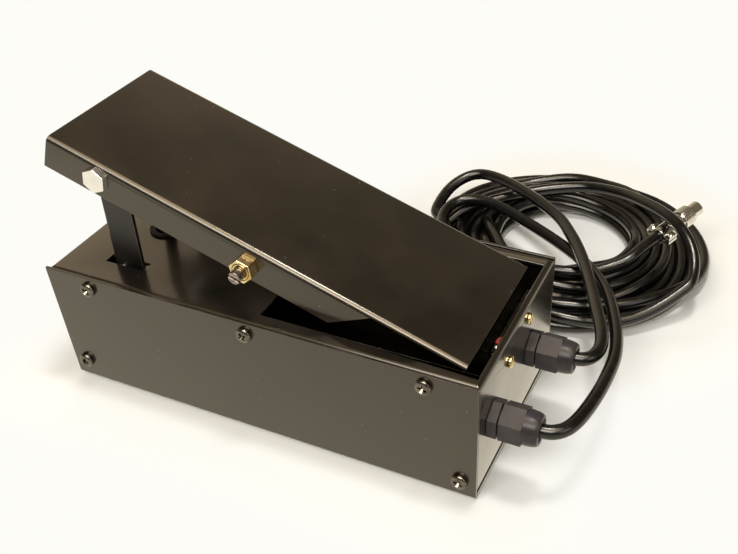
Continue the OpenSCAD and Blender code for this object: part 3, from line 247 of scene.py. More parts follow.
# Softbox lamps, all aimed at the object (metres and watts)
lampForm = {"colour": "#fffefb", "aim": (0, 0, 0.05)}
lampSets = {
    "cameraHigh": {"place": (0.1, -0.85, 1.05), "size": (1.15, 0.45), "watts": 13.5, "mirrored": True},
    "overhead": {"place": (0.12, 0.1, 1.3), "size": (0.2, 0.2), "watts": 5.6, "mirrored": True},
    "backLeft": {"place": (-0.62, 1.15, 0.98), "size": (0.9, 0.9), "watts": 4.0, "mirrored": False},
    "rightFill": {"place": (1.2, -0.3, 0.7), "size": (0.7, 0.7), "watts": 2.5, "mirrored": True}}
for name, lamp in lampSets.items():
    data = bpy.data.lights.new(name, "AREA")
    data.shape = "RECTANGLE"
    data.size, data.size_y = lamp["size"]
    data.energy = lamp["watts"]
    data.color = linear(lampForm["colour"])[:3]
    light = addObject(name, data)
    light.location = lamp["place"]
    light.visible_glossy = lamp["mirrored"]
    light.rotation_euler = (Vector(lampForm["aim"]) - light.location).to_track_quat("-Z", "Y").to_euler()
print("stage: camera, floor and", len(lampSets), "lamps")

# Finishes, sizes in mm: clouds from dark to light, roughness over the same clouds, bump from a finer grain.
# The grain is drawn coarser than the real one, so that it shows.
finishForm = {"cloudDetail": 4.0, "grainDetail": 1.0, "ramp": (0.34, 0.66), "roughOver": (0.3, 0.7),
              "bumpHeight": 0.1, "dust": "#7a7064", "dustReach": 0.045, "dustAbove": 0.55}
finishSets = {
    # gloss black baked enamel with orange peel and a little dust
    "blackStoveEnamel": {"dark": "#0d0b09", "light": "#191511", "cloud": 30, "rough": (0.26, 0.4),
                         "grain": 1.6, "bump": 0.05, "speck": 6.0,
                         "shader": {"Coat Weight": 1.0, "Coat Roughness": 0.15,
                                    "Specular Tint": linear("#f0d8ae")}},
    # satin black of the strap's legs
    "satinBlackEnamel": {"dark": "#0b0909", "light": "#151110", "cloud": 20, "rough": (0.34, 0.48),
                         "grain": 1.6, "bump": 0.06,
                         "shader": {"Coat Weight": 0.15, "Coat Roughness": 0.3}},
    # the same enamel drawn thin over a sheet's edge, made lighter as a painted edge highlight
    "thinEnamelEdge": {"dark": "#1d1915", "light": "#3a332b", "cloud": 6, "rough": (0.22, 0.34),
                       "grain": 1.2, "bump": 0.05,
                       "shader": {"Coat Weight": 1.0, "Coat Roughness": 0.14}},
    # bright zinc plate with faint passivation clouds
    "brightZinc": {"dark": "#eeefef", "light": "#fdfdfd", "cloud": 7, "rough": (0.16, 0.3),
                   "grain": 0.8, "bump": 0.06, "shader": {"Metallic": 1.0}},
    # dull nickel of the trimmer's shaft
    "dullNickel": {"dark": "#7d766f", "light": "#a9a199", "cloud": 3, "rough": (0.2, 0.34),
                   "grain": 0.8, "bump": 0.06, "shader": {"Metallic": 1.0}},
    # black nickel screw heads, dark and shiny
    "blackNickel": {"dark": "#57534d", "light": "#7d7870", "cloud": 3, "rough": (0.1, 0.2),
                    "grain": 0.8, "bump": 0.04, "shader": {"Metallic": 1.0}},
    # turned brass, a little tarnished
    "turnedBrass": {"dark": "#c4a566", "light": "#efdcae", "cloud": 4, "rough": (0.14, 0.28),
                    "grain": 0.8, "bump": 0.06, "shader": {"Metallic": 1.0}},
    # bright chrome plate, close to a mirror
    "chromePlate": {"dark": "#d9d9d5", "light": "#f2f1ec", "cloud": 6, "rough": (0.05, 0.12),
                    "grain": 1.0, "bump": 0.03, "shader": {"Metallic": 1.0}},
    # moulded nylon, satin with a fine pebble
    "mouldedNylon": {"dark": "#302c2d", "light": "#423d3e", "cloud": 9, "rough": (0.26, 0.38),
                     "grain": 0.9, "bump": 0.1, "shader": {"IOR": 1.53, "Specular IOR Level": 0.22}},
    # extruded vinyl, glossy with a faint drag grain
    "blackVinylJacket": {"dark": "#050505", "light": "#0d0c0b", "cloud": 5, "rough": (0.16, 0.28),
                         "grain": 2.0, "bump": 0.06, "shader": {"IOR": 1.54}},
    # matt rubber of feet, seals and grommet
    "softRubber": {"dark": "#121211", "light": "#201e1c", "cloud": 5, "rough": (0.66, 0.84),
                   "grain": 0.9, "bump": 0.25, "shader": {"IOR": 1.5}},
    # natural acetal of the gear parts, milky and smooth
    "whiteAcetal": {"dark": "#d3d1c8", "light": "#eae8e0", "cloud": 8, "rough": (0.34, 0.46),
                    "grain": 1.0, "bump": 0.06, "shader": {"IOR": 1.48}},
    # phenolic switch and plug insulator, dull black
    "phenolicBlack": {"dark": "#131315", "light": "#222226", "cloud": 6, "rough": (0.38, 0.54),
                      "grain": 0.9, "bump": 0.08, "shader": {"IOR": 1.53}},
    # moulded red plastic of the switch plunger
    "redPlastic": {"dark": "#8c1712", "light": "#b6271f", "cloud": 3, "rough": (0.34, 0.46),
                   "grain": 0.8, "bump": 0.06, "shader": {"IOR": 1.5}},
    # oil-tempered spring wire, grey with a soft shine
    "springSteel": {"dark": "#7c7d80", "light": "#b2b3b4", "cloud": 5, "rough": (0.24, 0.4),
                    "grain": 0.9, "bump": 0.08, "shader": {"Metallic": 1.0}},
    # near-black steel with a soft shine, on hinge, brackets and push rod
    "blackenedSteel": {"dark": "#100e0d", "light": "#1d1a18", "cloud": 6, "rough": (0.22, 0.38),
                       "grain": 0.9, "bump": 0.08, "shader": {"Metallic": 1.0}},
    # sealing lacquer dabbed on the hinge, wet to the eye
    "redLacquer": {"dark": "#551010", "light": "#84211e", "cloud": 1.5, "rough": (0.14, 0.28),
                   "grain": 0.8, "bump": 0.12, "shader": {"Coat Weight": 0.6, "Coat Roughness": 0.08}}}


def makeFinish(name, s, f):
    material = bpy.data.materials.new(name)
    tree = emptyTree(material)
    coords = addNode(tree, "ShaderNodeTexCoord").outputs["Object"]
    cloud = addNode(tree, "ShaderNodeTexNoise", {"Scale": perMm(s["cloud"]), "Detail": f["cloudDetail"]},
                    {"Vector": coords})
    grain = addNode(tree, "ShaderNodeTexNoise", {"Scale": perMm(s["grain"]), "Detail": f["grainDetail"]},
                    {"Vector": coords})
    stops = list(zip(f["ramp"], (linear(s["dark"]), linear(s["light"]))))
    colour = addNode(tree, "ShaderNodeValToRGB", {"stops": stops}, {0: cloud.outputs["Fac"]}).outputs["Color"]
    rough = addNode(tree, "ShaderNodeMapRange",
                    {"From Min": f["roughOver"][0], "From Max": f["roughOver"][1],
                     "To Min": s["rough"][0], "To Max": s["rough"][1]}, {"Value": cloud.outputs["Fac"]})
    if "speck" in s:  # dust: a dot in some of the cells
        cells = addNode(tree, "ShaderNodeTexVoronoi", {"Scale": perMm(s["speck"])}, {"Vector": coords})
        dot = addNode(tree, "ShaderNodeMath", {"operation": "LESS_THAN", 1: f["dustReach"]},
                      {0: cells.outputs["Distance"]})
        some = addNode(tree, "ShaderNodeSeparateColor", links={0: cells.outputs["Color"]})
        some = addNode(tree, "ShaderNodeMath", {"operation": "GREATER_THAN", 1: f["dustAbove"]},
                       {0: some.outputs[0]})
        dust = addNode(tree, "ShaderNodeMath", {"operation": "MULTIPLY"},
                       {0: dot.outputs[0], 1: some.outputs[0]})
        colour = addNode(tree, "ShaderNodeMixRGB", {"Color2": linear(f["dust"])},
                         {"Fac": dust.outputs[0], "Color1": colour}).outputs[0]
    bump = addNode(tree, "ShaderNodeBump", {"Strength": s["bump"], "Distance": f["bumpHeight"] * mm},
                   {"Height": grain.outputs["Fac"]})
    shader = addNode(tree, "ShaderNodeBsdfPrincipled", s["shader"],
                     {"Base Color": colour, "Roughness": rough.outputs[0], "Normal": bump.outputs[0]})
    addNode(tree, "ShaderNodeOutputMaterial", links={"Surface": shader.outputs[0]})
    return material


finishes = {name: makeFinish(name, s, finishForm) for name, s in finishSets.items()}
print("finishes:", len(finishes))

# CAD shapes with rounded edges: finish, record slot, rounding in mm, the edge's finish with its painted
# highlight, least angle rounded
keptSets = {
    "base_shell": ("blackStoveEnamel", "powder", 0.3, "thinEnamelEdge"),
    "base_tray": ("blackStoveEnamel", "powder", 0.2, "thinEnamelEdge", 60),
    "side_plate_near": ("blackStoveEnamel", "powder", 0.35, "thinEnamelEdge"),
    "side_plate_far": ("blackStoveEnamel", "powder", 0.35, "thinEnamelEdge"),
    "tread": ("blackStoveEnamel", "powder", 0.35, "thinEnamelEdge"),
    "leg_yoke": ("satinBlackEnamel", "powder", 0.3, "thinEnamelEdge"),
    "hinge_fixed_leaf": ("blackenedSteel", "spring_steel", 0.15),
    "hinge_moving_leaf": ("blackenedSteel", "spring_steel", 0.15),
    "hinge_pin": ("brightZinc", "zinc", 0.2),
    "side_nuts": ("brightZinc", "zinc", 0.2),
    "cross_bolt": ("brightZinc", "zinc", 0.35),
    "cross_nut": ("brightZinc", "zinc", 0.3),
    "spacer_sleeves": ("brightZinc", "zinc", 0.15),
    "push_rod": ("blackenedSteel", "zinc", 0.2),
    "rod_collar": ("brightZinc", "zinc", 0.2),
    "rod_grommet": ("softRubber", "rubber", 0.3),
    "spring_cup": ("brightZinc", "zinc", 0.2),
    "stop_pins": ("brightZinc", "zinc", 0.2),
    "rubber_feet": ("softRubber", "rubber", 0.4),
    "gear_rack": ("whiteAcetal", "acetal", 0.1),
    "pinion": ("whiteAcetal", "acetal", 0.1),
    "pot_shaft": ("brightZinc", "zinc", 0.2),
    "pot_body": ("brightZinc", "zinc", 0.3),
    "pot_nut": ("brightZinc", "zinc", 0.2),
    "pot_bracket": ("blackenedSteel", "zinc", 0.2),
    "switch_bracket": ("blackenedSteel", "zinc", 0.2),
    "trim_pot_body": ("turnedBrass", "zinc", 0.3),
    "trim_lock_nut": ("turnedBrass", "brass", 0.35),
    "trim_shaft": ("dullNickel", "zinc", 0.25),
    "switch_body": ("phenolicBlack", "switch_plastic", 0.25),
    "switch_button": ("redPlastic", "red_plastic", 0.15),
    "switch_lever": ("springSteel", "spring_steel", 0.08),
    "switch_roller": ("whiteAcetal", "acetal", 0.15),
    "gland_bodies": ("mouldedNylon", "nylon", 0.4),
    "gland_dome_nuts": ("mouldedNylon", "nylon", 0.0),
    "gland_locknuts": ("mouldedNylon", "nylon", 0.3),
    "gland_seals": ("softRubber", "rubber", 0.25)}
for plug in ("plug_a", "plug_b"):
    keptSets[plug + "_shell"] = ("chromePlate", "chrome", 0.2)
    keptSets[plug + "_ring"] = ("chromePlate", "chrome", 0.25)
    keptSets[plug + "_clamp"] = ("chromePlate", "chrome", 0.2)
    keptSets[plug + "_insert"] = ("phenolicBlack", "switch_plastic", 0.15)
roundSet = {"flatWithin": 0.5, "sharpFrom": 28, "segments": 2}
keptTriangles = {"base_shell", "base_tray"}  # faces with openings stay as triangles


def mergedCopy(node):  # a CAD node's triangles, joined at their corners
    bm = bmesh.new()
    bm.from_mesh(nodes[node].data)
    bmesh.ops.remove_doubles(bm, verts=bm.verts, dist=tiny)
    return bm


def roundedCopy(node, finish, slot, rounding, edgeFinishAndHighlight=None, fromAngle=32):
    bm = mergedCopy(node)
    if node not in keptTriangles:
        flat = math.radians(roundSet["flatWithin"])
        bmesh.ops.dissolve_limit(bm, angle_limit=flat, verts=bm.verts, edges=bm.edges)
    for face in bm.faces:
        face.material_index = 0
    mesh = meshFrom(bm, camel(node))
    for label in ("custom_normal", "sharp_face"):
        if label in mesh.attributes:
            mesh.attributes.remove(mesh.attributes[label])
    shadeMesh(mesh, roundSet["sharpFrom"])
    mesh.materials.clear()
    mesh.materials.append(finishes[finish])
    piece = addPiece(camel(node), mesh, nodes[node]["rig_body"], [node])
    if not rounding:
        return
    bevel = piece.modifiers.new("roundedEdges", "BEVEL")
    bevel.width = rounding * mm
    bevel.segments = roundSet["segments"]
    bevel.limit_method = "ANGLE"
    bevel.angle_limit = math.radians(fromAngle)
    bevel.use_clamp_overlap = False
    bevel.harden_normals = True
    # the rounded edges take the lighter edge enamel, partly thin enamel and partly a painted highlight
    if edgeFinishAndHighlight:
        mesh.materials.append(finishes[edgeFinishAndHighlight])
        bevel.material = 1


for node, values in keptSets.items():
    roundedCopy(node, *values)
print("kept shapes:", len(keptSets))


# Geometry Nodes: trees with named inputs, run on a carrier that leaves a plain mesh
def newTree(name, sockets):
    tree = bpy.data.node_groups.new(name, "GeometryNodeTree")
    tree.interface.new_socket("Geometry", in_out="OUTPUT", socket_type="NodeSocketGeometry")
    for label, kind in sockets.items():
        tree.interface.new_socket(label, in_out="INPUT", socket_type="NodeSocket" + kind)
    return tree, tree.nodes.new("NodeGroupInput").outputs


def endTree(tree, geometry, finish):
    real = addNode(tree, "GeometryNodeRealizeInstances", links={0: geometry})
    done = addNode(tree, "GeometryNodeSetMaterial", links={"Geometry": real.outputs[0], "Material": finish})
    addNode(tree, "NodeGroupOutput", links={0: done.outputs[0]})


def grow(tree, values, mesh=None):
    carrier = addObject("carrier", mesh or bpy.data.meshes.new("carrier"))
    modifier = carrier.modifiers.new("grow", "NODES")
    modifier.node_group = tree
    for item in tree.interface.items_tree:
        if item.in_out == "INPUT" and item.name in values:
            modifier[item.identifier] = values[item.name]
    grown = evaluatedMesh(carrier)
    bpy.data.objects.remove(carrier)
    return grown


def looseSolids(node):  # the separate solids of a CAD node, as arrays of points
    bm = mergedCopy(node)
    groups = []
    seen = set()
    for first in bm.verts:
        if first in seen:
            continue
        stack = [first]
        group = []
        seen.add(first)
        while stack:
            vert = stack.pop()
            group.append(tuple(vert.co))
            for edge in vert.link_edges:
                other = edge.other_vert(vert)
                if other not in seen:
                    seen.add(other)
                    stack.append(other)
        groups.append(np.array(group))
    bm.free()
    return groups


def latheMesh(name, profile, sides):  # profile as (radius, height), from the top middle to the bottom middle
    bm = bmesh.new()
    angles = [2 * math.pi * k / sides for k in range(sides)]
    rings = []
    for r, z in profile:
        if r == 0:
            rings.append([bm.verts.new((0, 0, z))] * sides)
        else:
            rings.append([bm.verts.new((r * math.cos(a), r * math.sin(a), z)) for a in angles])
    for upper, lower in zip(rings, rings[1:]):
        for k in range(sides):
            corners = [upper[k], lower[k], lower[(k + 1) % sides], upper[(k + 1) % sides]]
            bm.faces.new(list(dict.fromkeys(corners)))
    return meshFrom(bm, name)


# Plugs: how far each dips and swings, in degrees
plugTurns = {"plug_a": (-7, 65), "plug_b": (0, -53)}


def plugAxis(turn):  # from the cord towards the coupling ring
    dip, swing = (math.radians(a) for a in turn)
    return np.array([math.cos(dip) * math.cos(swing), math.cos(dip) * math.sin(swing), -math.sin(dip)])


def plugUp(turn):  # along the screws of its clamp
    dip, swing = (math.radians(a) for a in turn)
    return np.array([math.sin(dip) * math.cos(swing), math.sin(dip) * math.sin(swing), math.cos(dip)])


# Screws: one cross-head screw per CAD node, set on its places by Geometry Nodes with a random turn
screwSets = {
    "side_screws": {"finish": "blackNickel", "slot": "zinc", "seed": 11},
    "tray_screws": {"finish": "brightZinc", "slot": "zinc", "seed": 12},
    "hinge_screws": {"finish": "turnedBrass", "slot": "brass", "seed": 13},
    "rack_screws": {"finish": "brightZinc", "slot": "zinc", "seed": 14},
    "bracket_screws": {"finish": "brightZinc", "slot": "zinc", "seed": 15},
    "switch_screws": {"finish": "brightZinc", "slot": "zinc", "seed": 16},
    "plug_a_screws": {"finish": "chromePlate", "slot": "chrome", "seed": 17, "plug": "plug_a"},
    "plug_b_screws": {"finish": "chromePlate", "slot": "chrome", "seed": 18, "plug": "plug_b"}}
# Shares of the head's and the shank's sizes, apart from counts, the pitch in mm and the shading angle
screwForm = {"sides": 28, "domeSteps": 9, "rimHeight": 0.08, "rimFoot": 0.97, "sharpFrom": 38,
             "pitch": 0.7, "leastThreads": 2, "threadDepth": 0.12, "crestAt": 0.3, "rootAt": 0.65, "tip": 0.7,
             "recessReach": 0.58, "recessWidth": 0.17, "recessDepth": 0.62, "recessTop": 1.12,
             "recessLow": 0.45, "cutAbove": 1.2}
findSet = {"rim": 0.9, "endSlice": 0.01}  # share of the head's radius, and mm at the shank's end


def measureScrew(points, axis, f):
    if axis is None:  # along the axis across which it is round
        size = np.ptp(points, axis=0)
        uneven = [abs(size[(k + 1) % 3] - size[(k + 2) % 3]) for k in range(3)]
        axis = np.eye(3)[int(np.argmin(uneven))]
    middle = points.mean(axis=0)
    along = (points - middle) @ axis
    radius = np.linalg.norm(points - middle - along[:, None] * axis, axis=1)
    if along[radius > f["rim"] * radius.max()].mean() < (along.max() + along.min()) / 2:
        axis, along = -axis, -along
    shank = radius[along < along.min() + f["endSlice"] * mm].max()
    under = along[radius > (radius.max() + shank) / 2].min()
    return {"place": middle + under * axis, "aim": axis, "headRadius": radius.max(),
            "headHeight": along.max() - under, "shankRadius": shank, "shankLength": under - along.min()}


def recessMesh(head, height, f):  # a cross that narrows downwards
    reach, half = head * f["recessReach"], head * f["recessWidth"]
    arm = [(reach, half), (half, half), (half, reach)]
    outline = arm + [(-y, x) for x, y in arm] + [(-x, -y) for x, y in arm] + [(y, -x) for x, y in arm]
    outline.sort(key=lambda c: math.atan2(c[1], c[0]))
    wide, topZ = f["recessTop"], height * f["cutAbove"]
    narrow, lowZ = f["recessLow"], height * (1 - f["recessDepth"])
    bm = bmesh.new()
    top = [bm.verts.new((x * wide, y * wide, topZ)) for x, y in outline]
    low = [bm.verts.new((x * narrow, y * narrow, lowZ)) for x, y in outline]
    bm.faces.new(top)
    bm.faces.new(low[::-1])
    for k in range(len(outline)):
        n = (k + 1) % len(outline)
        bm.faces.new([top[k], low[k], low[n], top[n]])
    bmesh.ops.recalc_face_normals(bm, faces=bm.faces)
    return meshFrom(bm, "crossRecess")


def screwMesh(name, size, f):
    head, height = size["headRadius"], size["headHeight"]
    shank, length = size["shankRadius"], size["shankLength"]
    profile = [(0, height)]
    for a in np.linspace(0, math.pi / 2, f["domeSteps"]):
        profile.append((head / 2 * (1 + math.sin(a)), height / 2 * (1 + math.cos(a))))
    profile += [(head, f["rimHeight"] * height), (head * f["rimFoot"], 0), (shank, 0)]
    threads = max(f["leastThreads"], int(length / (f["pitch"] * mm)) - 1)
    for k in range(threads):
        profile.append((shank, -length * (k + f["crestAt"]) / threads))
        profile.append((shank * (1 - f["threadDepth"]), -length * (k + f["rootAt"]) / threads))
    profile += [(shank * f["tip"], -length), (0, -length)]
    body = addObject(name, latheMesh(name, profile, f["sides"]))
    cutter = addObject("crossRecess", recessMesh(head, height, f))
    cut = body.modifiers.new("recess", "BOOLEAN")
    cut.object = cutter
    cut.solver = "EXACT"
    mesh = evaluatedMesh(body)
    shadeMesh(mesh, f["sharpFrom"])
    for obj in (body, cutter):
        bpy.data.objects.remove(obj)
    return mesh


def buildScrewTree():
    tree, given = newTree("screwsOnPoints", {"Geometry": "Geometry", "Screw": "Object", "Seed": "Int",
                                             "Finish": "Material"})
    aim = addNode(tree, "GeometryNodeInputNamedAttribute", {"data_type": "FLOAT_VECTOR", "Name": "aim"})
    turn = addNode(tree, "FunctionNodeAlignRotationToVector", {"axis": "Z"}, {"Vector": aim.outputs[0]})
    chance = addNode(tree, "FunctionNodeRandomValue", {"data_type": "FLOAT", 2: 0.0, 3: math.pi / 2},
                     {"Seed": given["Seed"]})
    spin = addNode(tree, "FunctionNodeAxisAngleToRotation", {"Axis": (0, 0, 1)}, {"Angle": chance.outputs[1]})
    both = addNode(tree, "FunctionNodeRotateRotation", {"rotation_space": "LOCAL"},
                   {"Rotation": turn.outputs[0], "Rotate By": spin.outputs[0]})
    screw = addNode(tree, "GeometryNodeObjectInfo", {"As Instance": True}, {"Object": given["Screw"]})
    placed = addNode(tree, "GeometryNodeInstanceOnPoints", links={
        "Points": given["Geometry"], "Instance": screw.outputs["Geometry"], "Rotation": both.outputs[0]})
    endTree(tree, placed.outputs[0], given["Finish"])
    return tree


screwTree = buildScrewTree()
for node, s in screwSets.items():
    axis = plugUp(plugTurns[s["plug"]]) if "plug" in s else None
    sizes = [measureScrew(points, axis, findSet) for points in looseSolids(node)]
    screw = addObject("screw", screwMesh(camel(node), sizes[0], screwForm))
    spots = bpy.data.meshes.new("spots")
    spots.from_pydata([tuple(size["place"]) for size in sizes], [], [])
    aims = spots.attributes.new("aim", "FLOAT_VECTOR", "POINT")
    aims.data.foreach_set("vector", np.array([size["aim"] for size in sizes]).ravel())
    mesh = grow(screwTree, {"Screw": screw, "Seed": s["seed"], "Finish": finishes[s["finish"]]}, spots)
    bpy.data.objects.remove(screw)
    addPiece(camel(node), mesh, nodes[node]["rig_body"], [node])
    print("screws", camel(node), len(sizes), "faces", len(mesh.polygons))

# Knurls on the coupling rings: ribs set round a circle by Geometry Nodes, each a little smaller by chance
knurlSet = {"ribs": 26, "ribRadius": 0.45, "ribSides": 10, "ribSteps": 3, "least": 0.97, "proud": 0.1,
            "share": 0.66, "sharpFrom": 50, "seed": 3}


def buildKnurlTree(s):
    tree, given = newTree("knurlRibs", {"Ribs": "Int", "Radius": "Float", "Rib Radius": "Float",
                                        "Length": "Float", "Seed": "Int", "Finish": "Material"})
    circle = addNode(tree, "GeometryNodeMeshCircle",
                     links={"Vertices": given["Ribs"], "Radius": given["Radius"]})
    rib = addNode(tree, "GeometryNodeMeshCylinder",
                  {"Vertices": s["ribSides"], "Side Segments": s["ribSteps"]},
                  {"Radius": given["Rib Radius"], "Depth": given["Length"]})
    chance = addNode(tree, "FunctionNodeRandomValue", {"data_type": "FLOAT", 2: s["least"], 3: 1.0},
                     {"Seed": given["Seed"]})
    placed = addNode(tree, "GeometryNodeInstanceOnPoints", links={
        "Points": circle.outputs[0], "Instance": rib.outputs[0], "Scale": chance.outputs[1]})
    endTree(tree, placed.outputs[0], given["Finish"])
    return tree


knurlTree = buildKnurlTree(knurlSet)
for plug, turn in plugTurns.items():
    node = plug + "_ring"
    points = np.vstack(looseSolids(node))
    axis = plugAxis(turn)
    along = points @ axis
    middle = points.mean(axis=0)
    middle = middle + axis * ((along.max() + along.min()) / 2 - middle @ axis)
    radius = np.linalg.norm(points - middle - ((points - middle) @ axis)[:, None] * axis, axis=1).max()
    mesh = grow(knurlTree, {
        "Ribs": knurlSet["ribs"], "Radius": float(radius) - (knurlSet["ribRadius"] - knurlSet["proud"]) * mm,
        "Rib Radius": knurlSet["ribRadius"] * mm, "Length": float(np.ptp(along)) * knurlSet["share"],
        "Seed": knurlSet["seed"], "Finish": finishes["chromePlate"]})
    shadeMesh(mesh, knurlSet["sharpFrom"])
    aim = Vector((0, 0, 1)).rotation_difference(Vector(axis))
    mesh.transform(Matrix.Translation(middle) @ aim.to_matrix().to_4x4())
    addPiece(camel(plug) + "Knurls", mesh, nodes[node]["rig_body"])
print("knurls on", len(plugTurns), "rings")

# Return spring: a coil swept by Geometry Nodes, closed at both ends
springSet = {"wire": 1.6, "turns": 6.5, "turnSteps": 40, "wireSides": 10, "sharpFrom": 60, "keep": 0.47,
             "lean": (-0.17, 0.0, 0.985)}


def buildSpringTree(s):
    tree, given = newTree("coilSpring", {"Wire Radius": "Float", "Coil Radius": "Float", "Height": "Float",
                                         "Turns": "Float", "Finish": "Material"})
    coil = addNode(tree, "GeometryNodeCurveSpiral", {"Resolution": s["turnSteps"]}, {
        "Rotations": given["Turns"], "Start Radius": given["Coil Radius"], "End Radius": given["Coil Radius"],
        "Height": given["Height"]})
    ends = addNode(tree, "GeometryNodeCurvePrimitiveCircle", {"Resolution": s["turnSteps"]},
                   {"Radius": given["Coil Radius"]})
    lift = addNode(tree, "ShaderNodeCombineXYZ", links={"Z": given["Height"]})
    upper = addNode(tree, "GeometryNodeTransform",
                    links={"Geometry": ends.outputs[0], "Translation": lift.outputs[0]})
    paths = addNode(tree, "GeometryNodeJoinGeometry")
    for socket in (coil.outputs[0], ends.outputs[0], upper.outputs[0]):
        tree.links.new(socket, paths.inputs[0])
    wire = addNode(tree, "GeometryNodeCurvePrimitiveCircle", {"Resolution": s["wireSides"]},
                   {"Radius": given["Wire Radius"]})
    swept = addNode(tree, "GeometryNodeCurveToMesh", {"Fill Caps": True},
                    {"Curve": paths.outputs[0], "Profile Curve": wire.outputs[0]})
    endTree(tree, swept.outputs[0], given["Finish"])
    return tree


low, high = (np.array(corner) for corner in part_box("return_spring"))
middle = (low + high) / 2
wireRadius = springSet["wire"] / 2 * mm
mesh = grow(buildSpringTree(springSet), {
    "Wire Radius": wireRadius, "Coil Radius": float(high[0] - low[0]) / 2 - wireRadius,
    "Height": float(high[2] - low[2]) - springSet["wire"] * mm, "Turns": springSet["turns"],
    "Finish": finishes["springSteel"]})
shadeMesh(mesh, springSet["sharpFrom"])
mesh.transform(Matrix.Translation((middle[0], middle[1], low[2] + wireRadius)))
spring = addPiece("returnSpring", mesh, nodes["return_spring"]["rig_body"], ["return_spring"])
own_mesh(spring)
print("spring of", len(mesh.polygons), "faces")

# Dab of red lacquer with a ragged rim, over a hinge knuckle (mm and degrees, axis is the pin's x and z)
dabSet = {"axis": (95.45, 59.85), "knuckle": 2.25, "at": -15.7, "lean": 24.0, "radius": 3.0, "thick": 0.75,
          "sunk": 0.12, "sides": 24, "rings": (0.25, 0.5, 0.72, 0.88, 0.97, 1.0), "ragged": 0.22,
          "blur": [1 / 3] * 5, "seed": 5}


def dabMesh(s):
    draw = np.random.default_rng(s["seed"])
    sides = s["sides"]
    uneven = np.convolve(draw.uniform(-1, 1, sides + len(s["blur"]) - 1), s["blur"], "valid")
    rim = s["radius"] * (1 + s["ragged"] * uneven)
    bm = bmesh.new()
    rings = []
    for share in s["rings"]:
        height = s["knuckle"] + s["thick"] * math.sqrt(max(0.0, 1 - share ** 2)) - s["sunk"]
        ring = []
        for k in range(sides):
            angle = 2 * math.pi * k / sides
            out = rim[k] * share
            lean = math.radians(s["lean"]) + out * math.cos(angle) / s["knuckle"]
            x = s["axis"][0] + height * math.sin(lean)
            y = s["at"] + out * math.sin(angle)
            z = s["axis"][1] + height * math.cos(lean)
            ring.append(bm.verts.new((x * mm, y * mm, z * mm)))
        rings.append(ring)
    bm.faces.new(rings[0])
    for inner, outer in zip(rings, rings[1:]):
        for k in range(sides):
            n = (k + 1) % sides
            bm.faces.new([inner[k], outer[k], outer[n], inner[n]])
    bmesh.ops.recalc_face_normals(bm, faces=bm.faces)
    mesh = meshFrom(bm, "lacquerDab")
    mesh.shade_smooth()
    mesh.materials.append(finishes["redLacquer"])
    return mesh


addPiece("lacquerDab", dabMesh(dabSet), "base")

# Small bright rivet beside the dab, on the same knuckle line (mm and degrees)
rivetSet = {"at": -20.4, "lean": 14.0, "sunk": 0.3, "radius": 1.25, "height": 0.9, "foot": 0.2,
            "domeFrom": 0.2, "domeTo": 1.5, "domeSteps": 7, "sides": 20, "sharpFrom": 40}


def rivetMesh(s, knuckle):
    radius, height, foot = s["radius"], s["height"], s["foot"]
    profile = [(0, height * mm)]
    for a in np.linspace(s["domeFrom"], s["domeTo"], s["domeSteps"]):
        profile.append((radius * math.sin(a) * mm, height * math.cos(a) * mm))
    profile += [(radius * mm, -foot * mm), (0, -foot * mm)]
    mesh = latheMesh("hingeRivet", profile, s["sides"])
    shadeMesh(mesh, s["sharpFrom"])
    mesh.materials.append(finishes["brightZinc"])
    lean = math.radians(s["lean"])
    out = knuckle["knuckle"] - s["sunk"]
    x, z = knuckle["axis"]
    spot = Vector((x + out * math.sin(lean), s["at"], z + out * math.cos(lean))) * mm
    mesh.transform(Matrix.Translation(spot) @ Matrix.Rotation(lean, 4, "Y"))
    return mesh


addPiece("hingeRivet", rivetMesh(rivetSet, dabSet), "base")
print("lacquer dab and rivet")
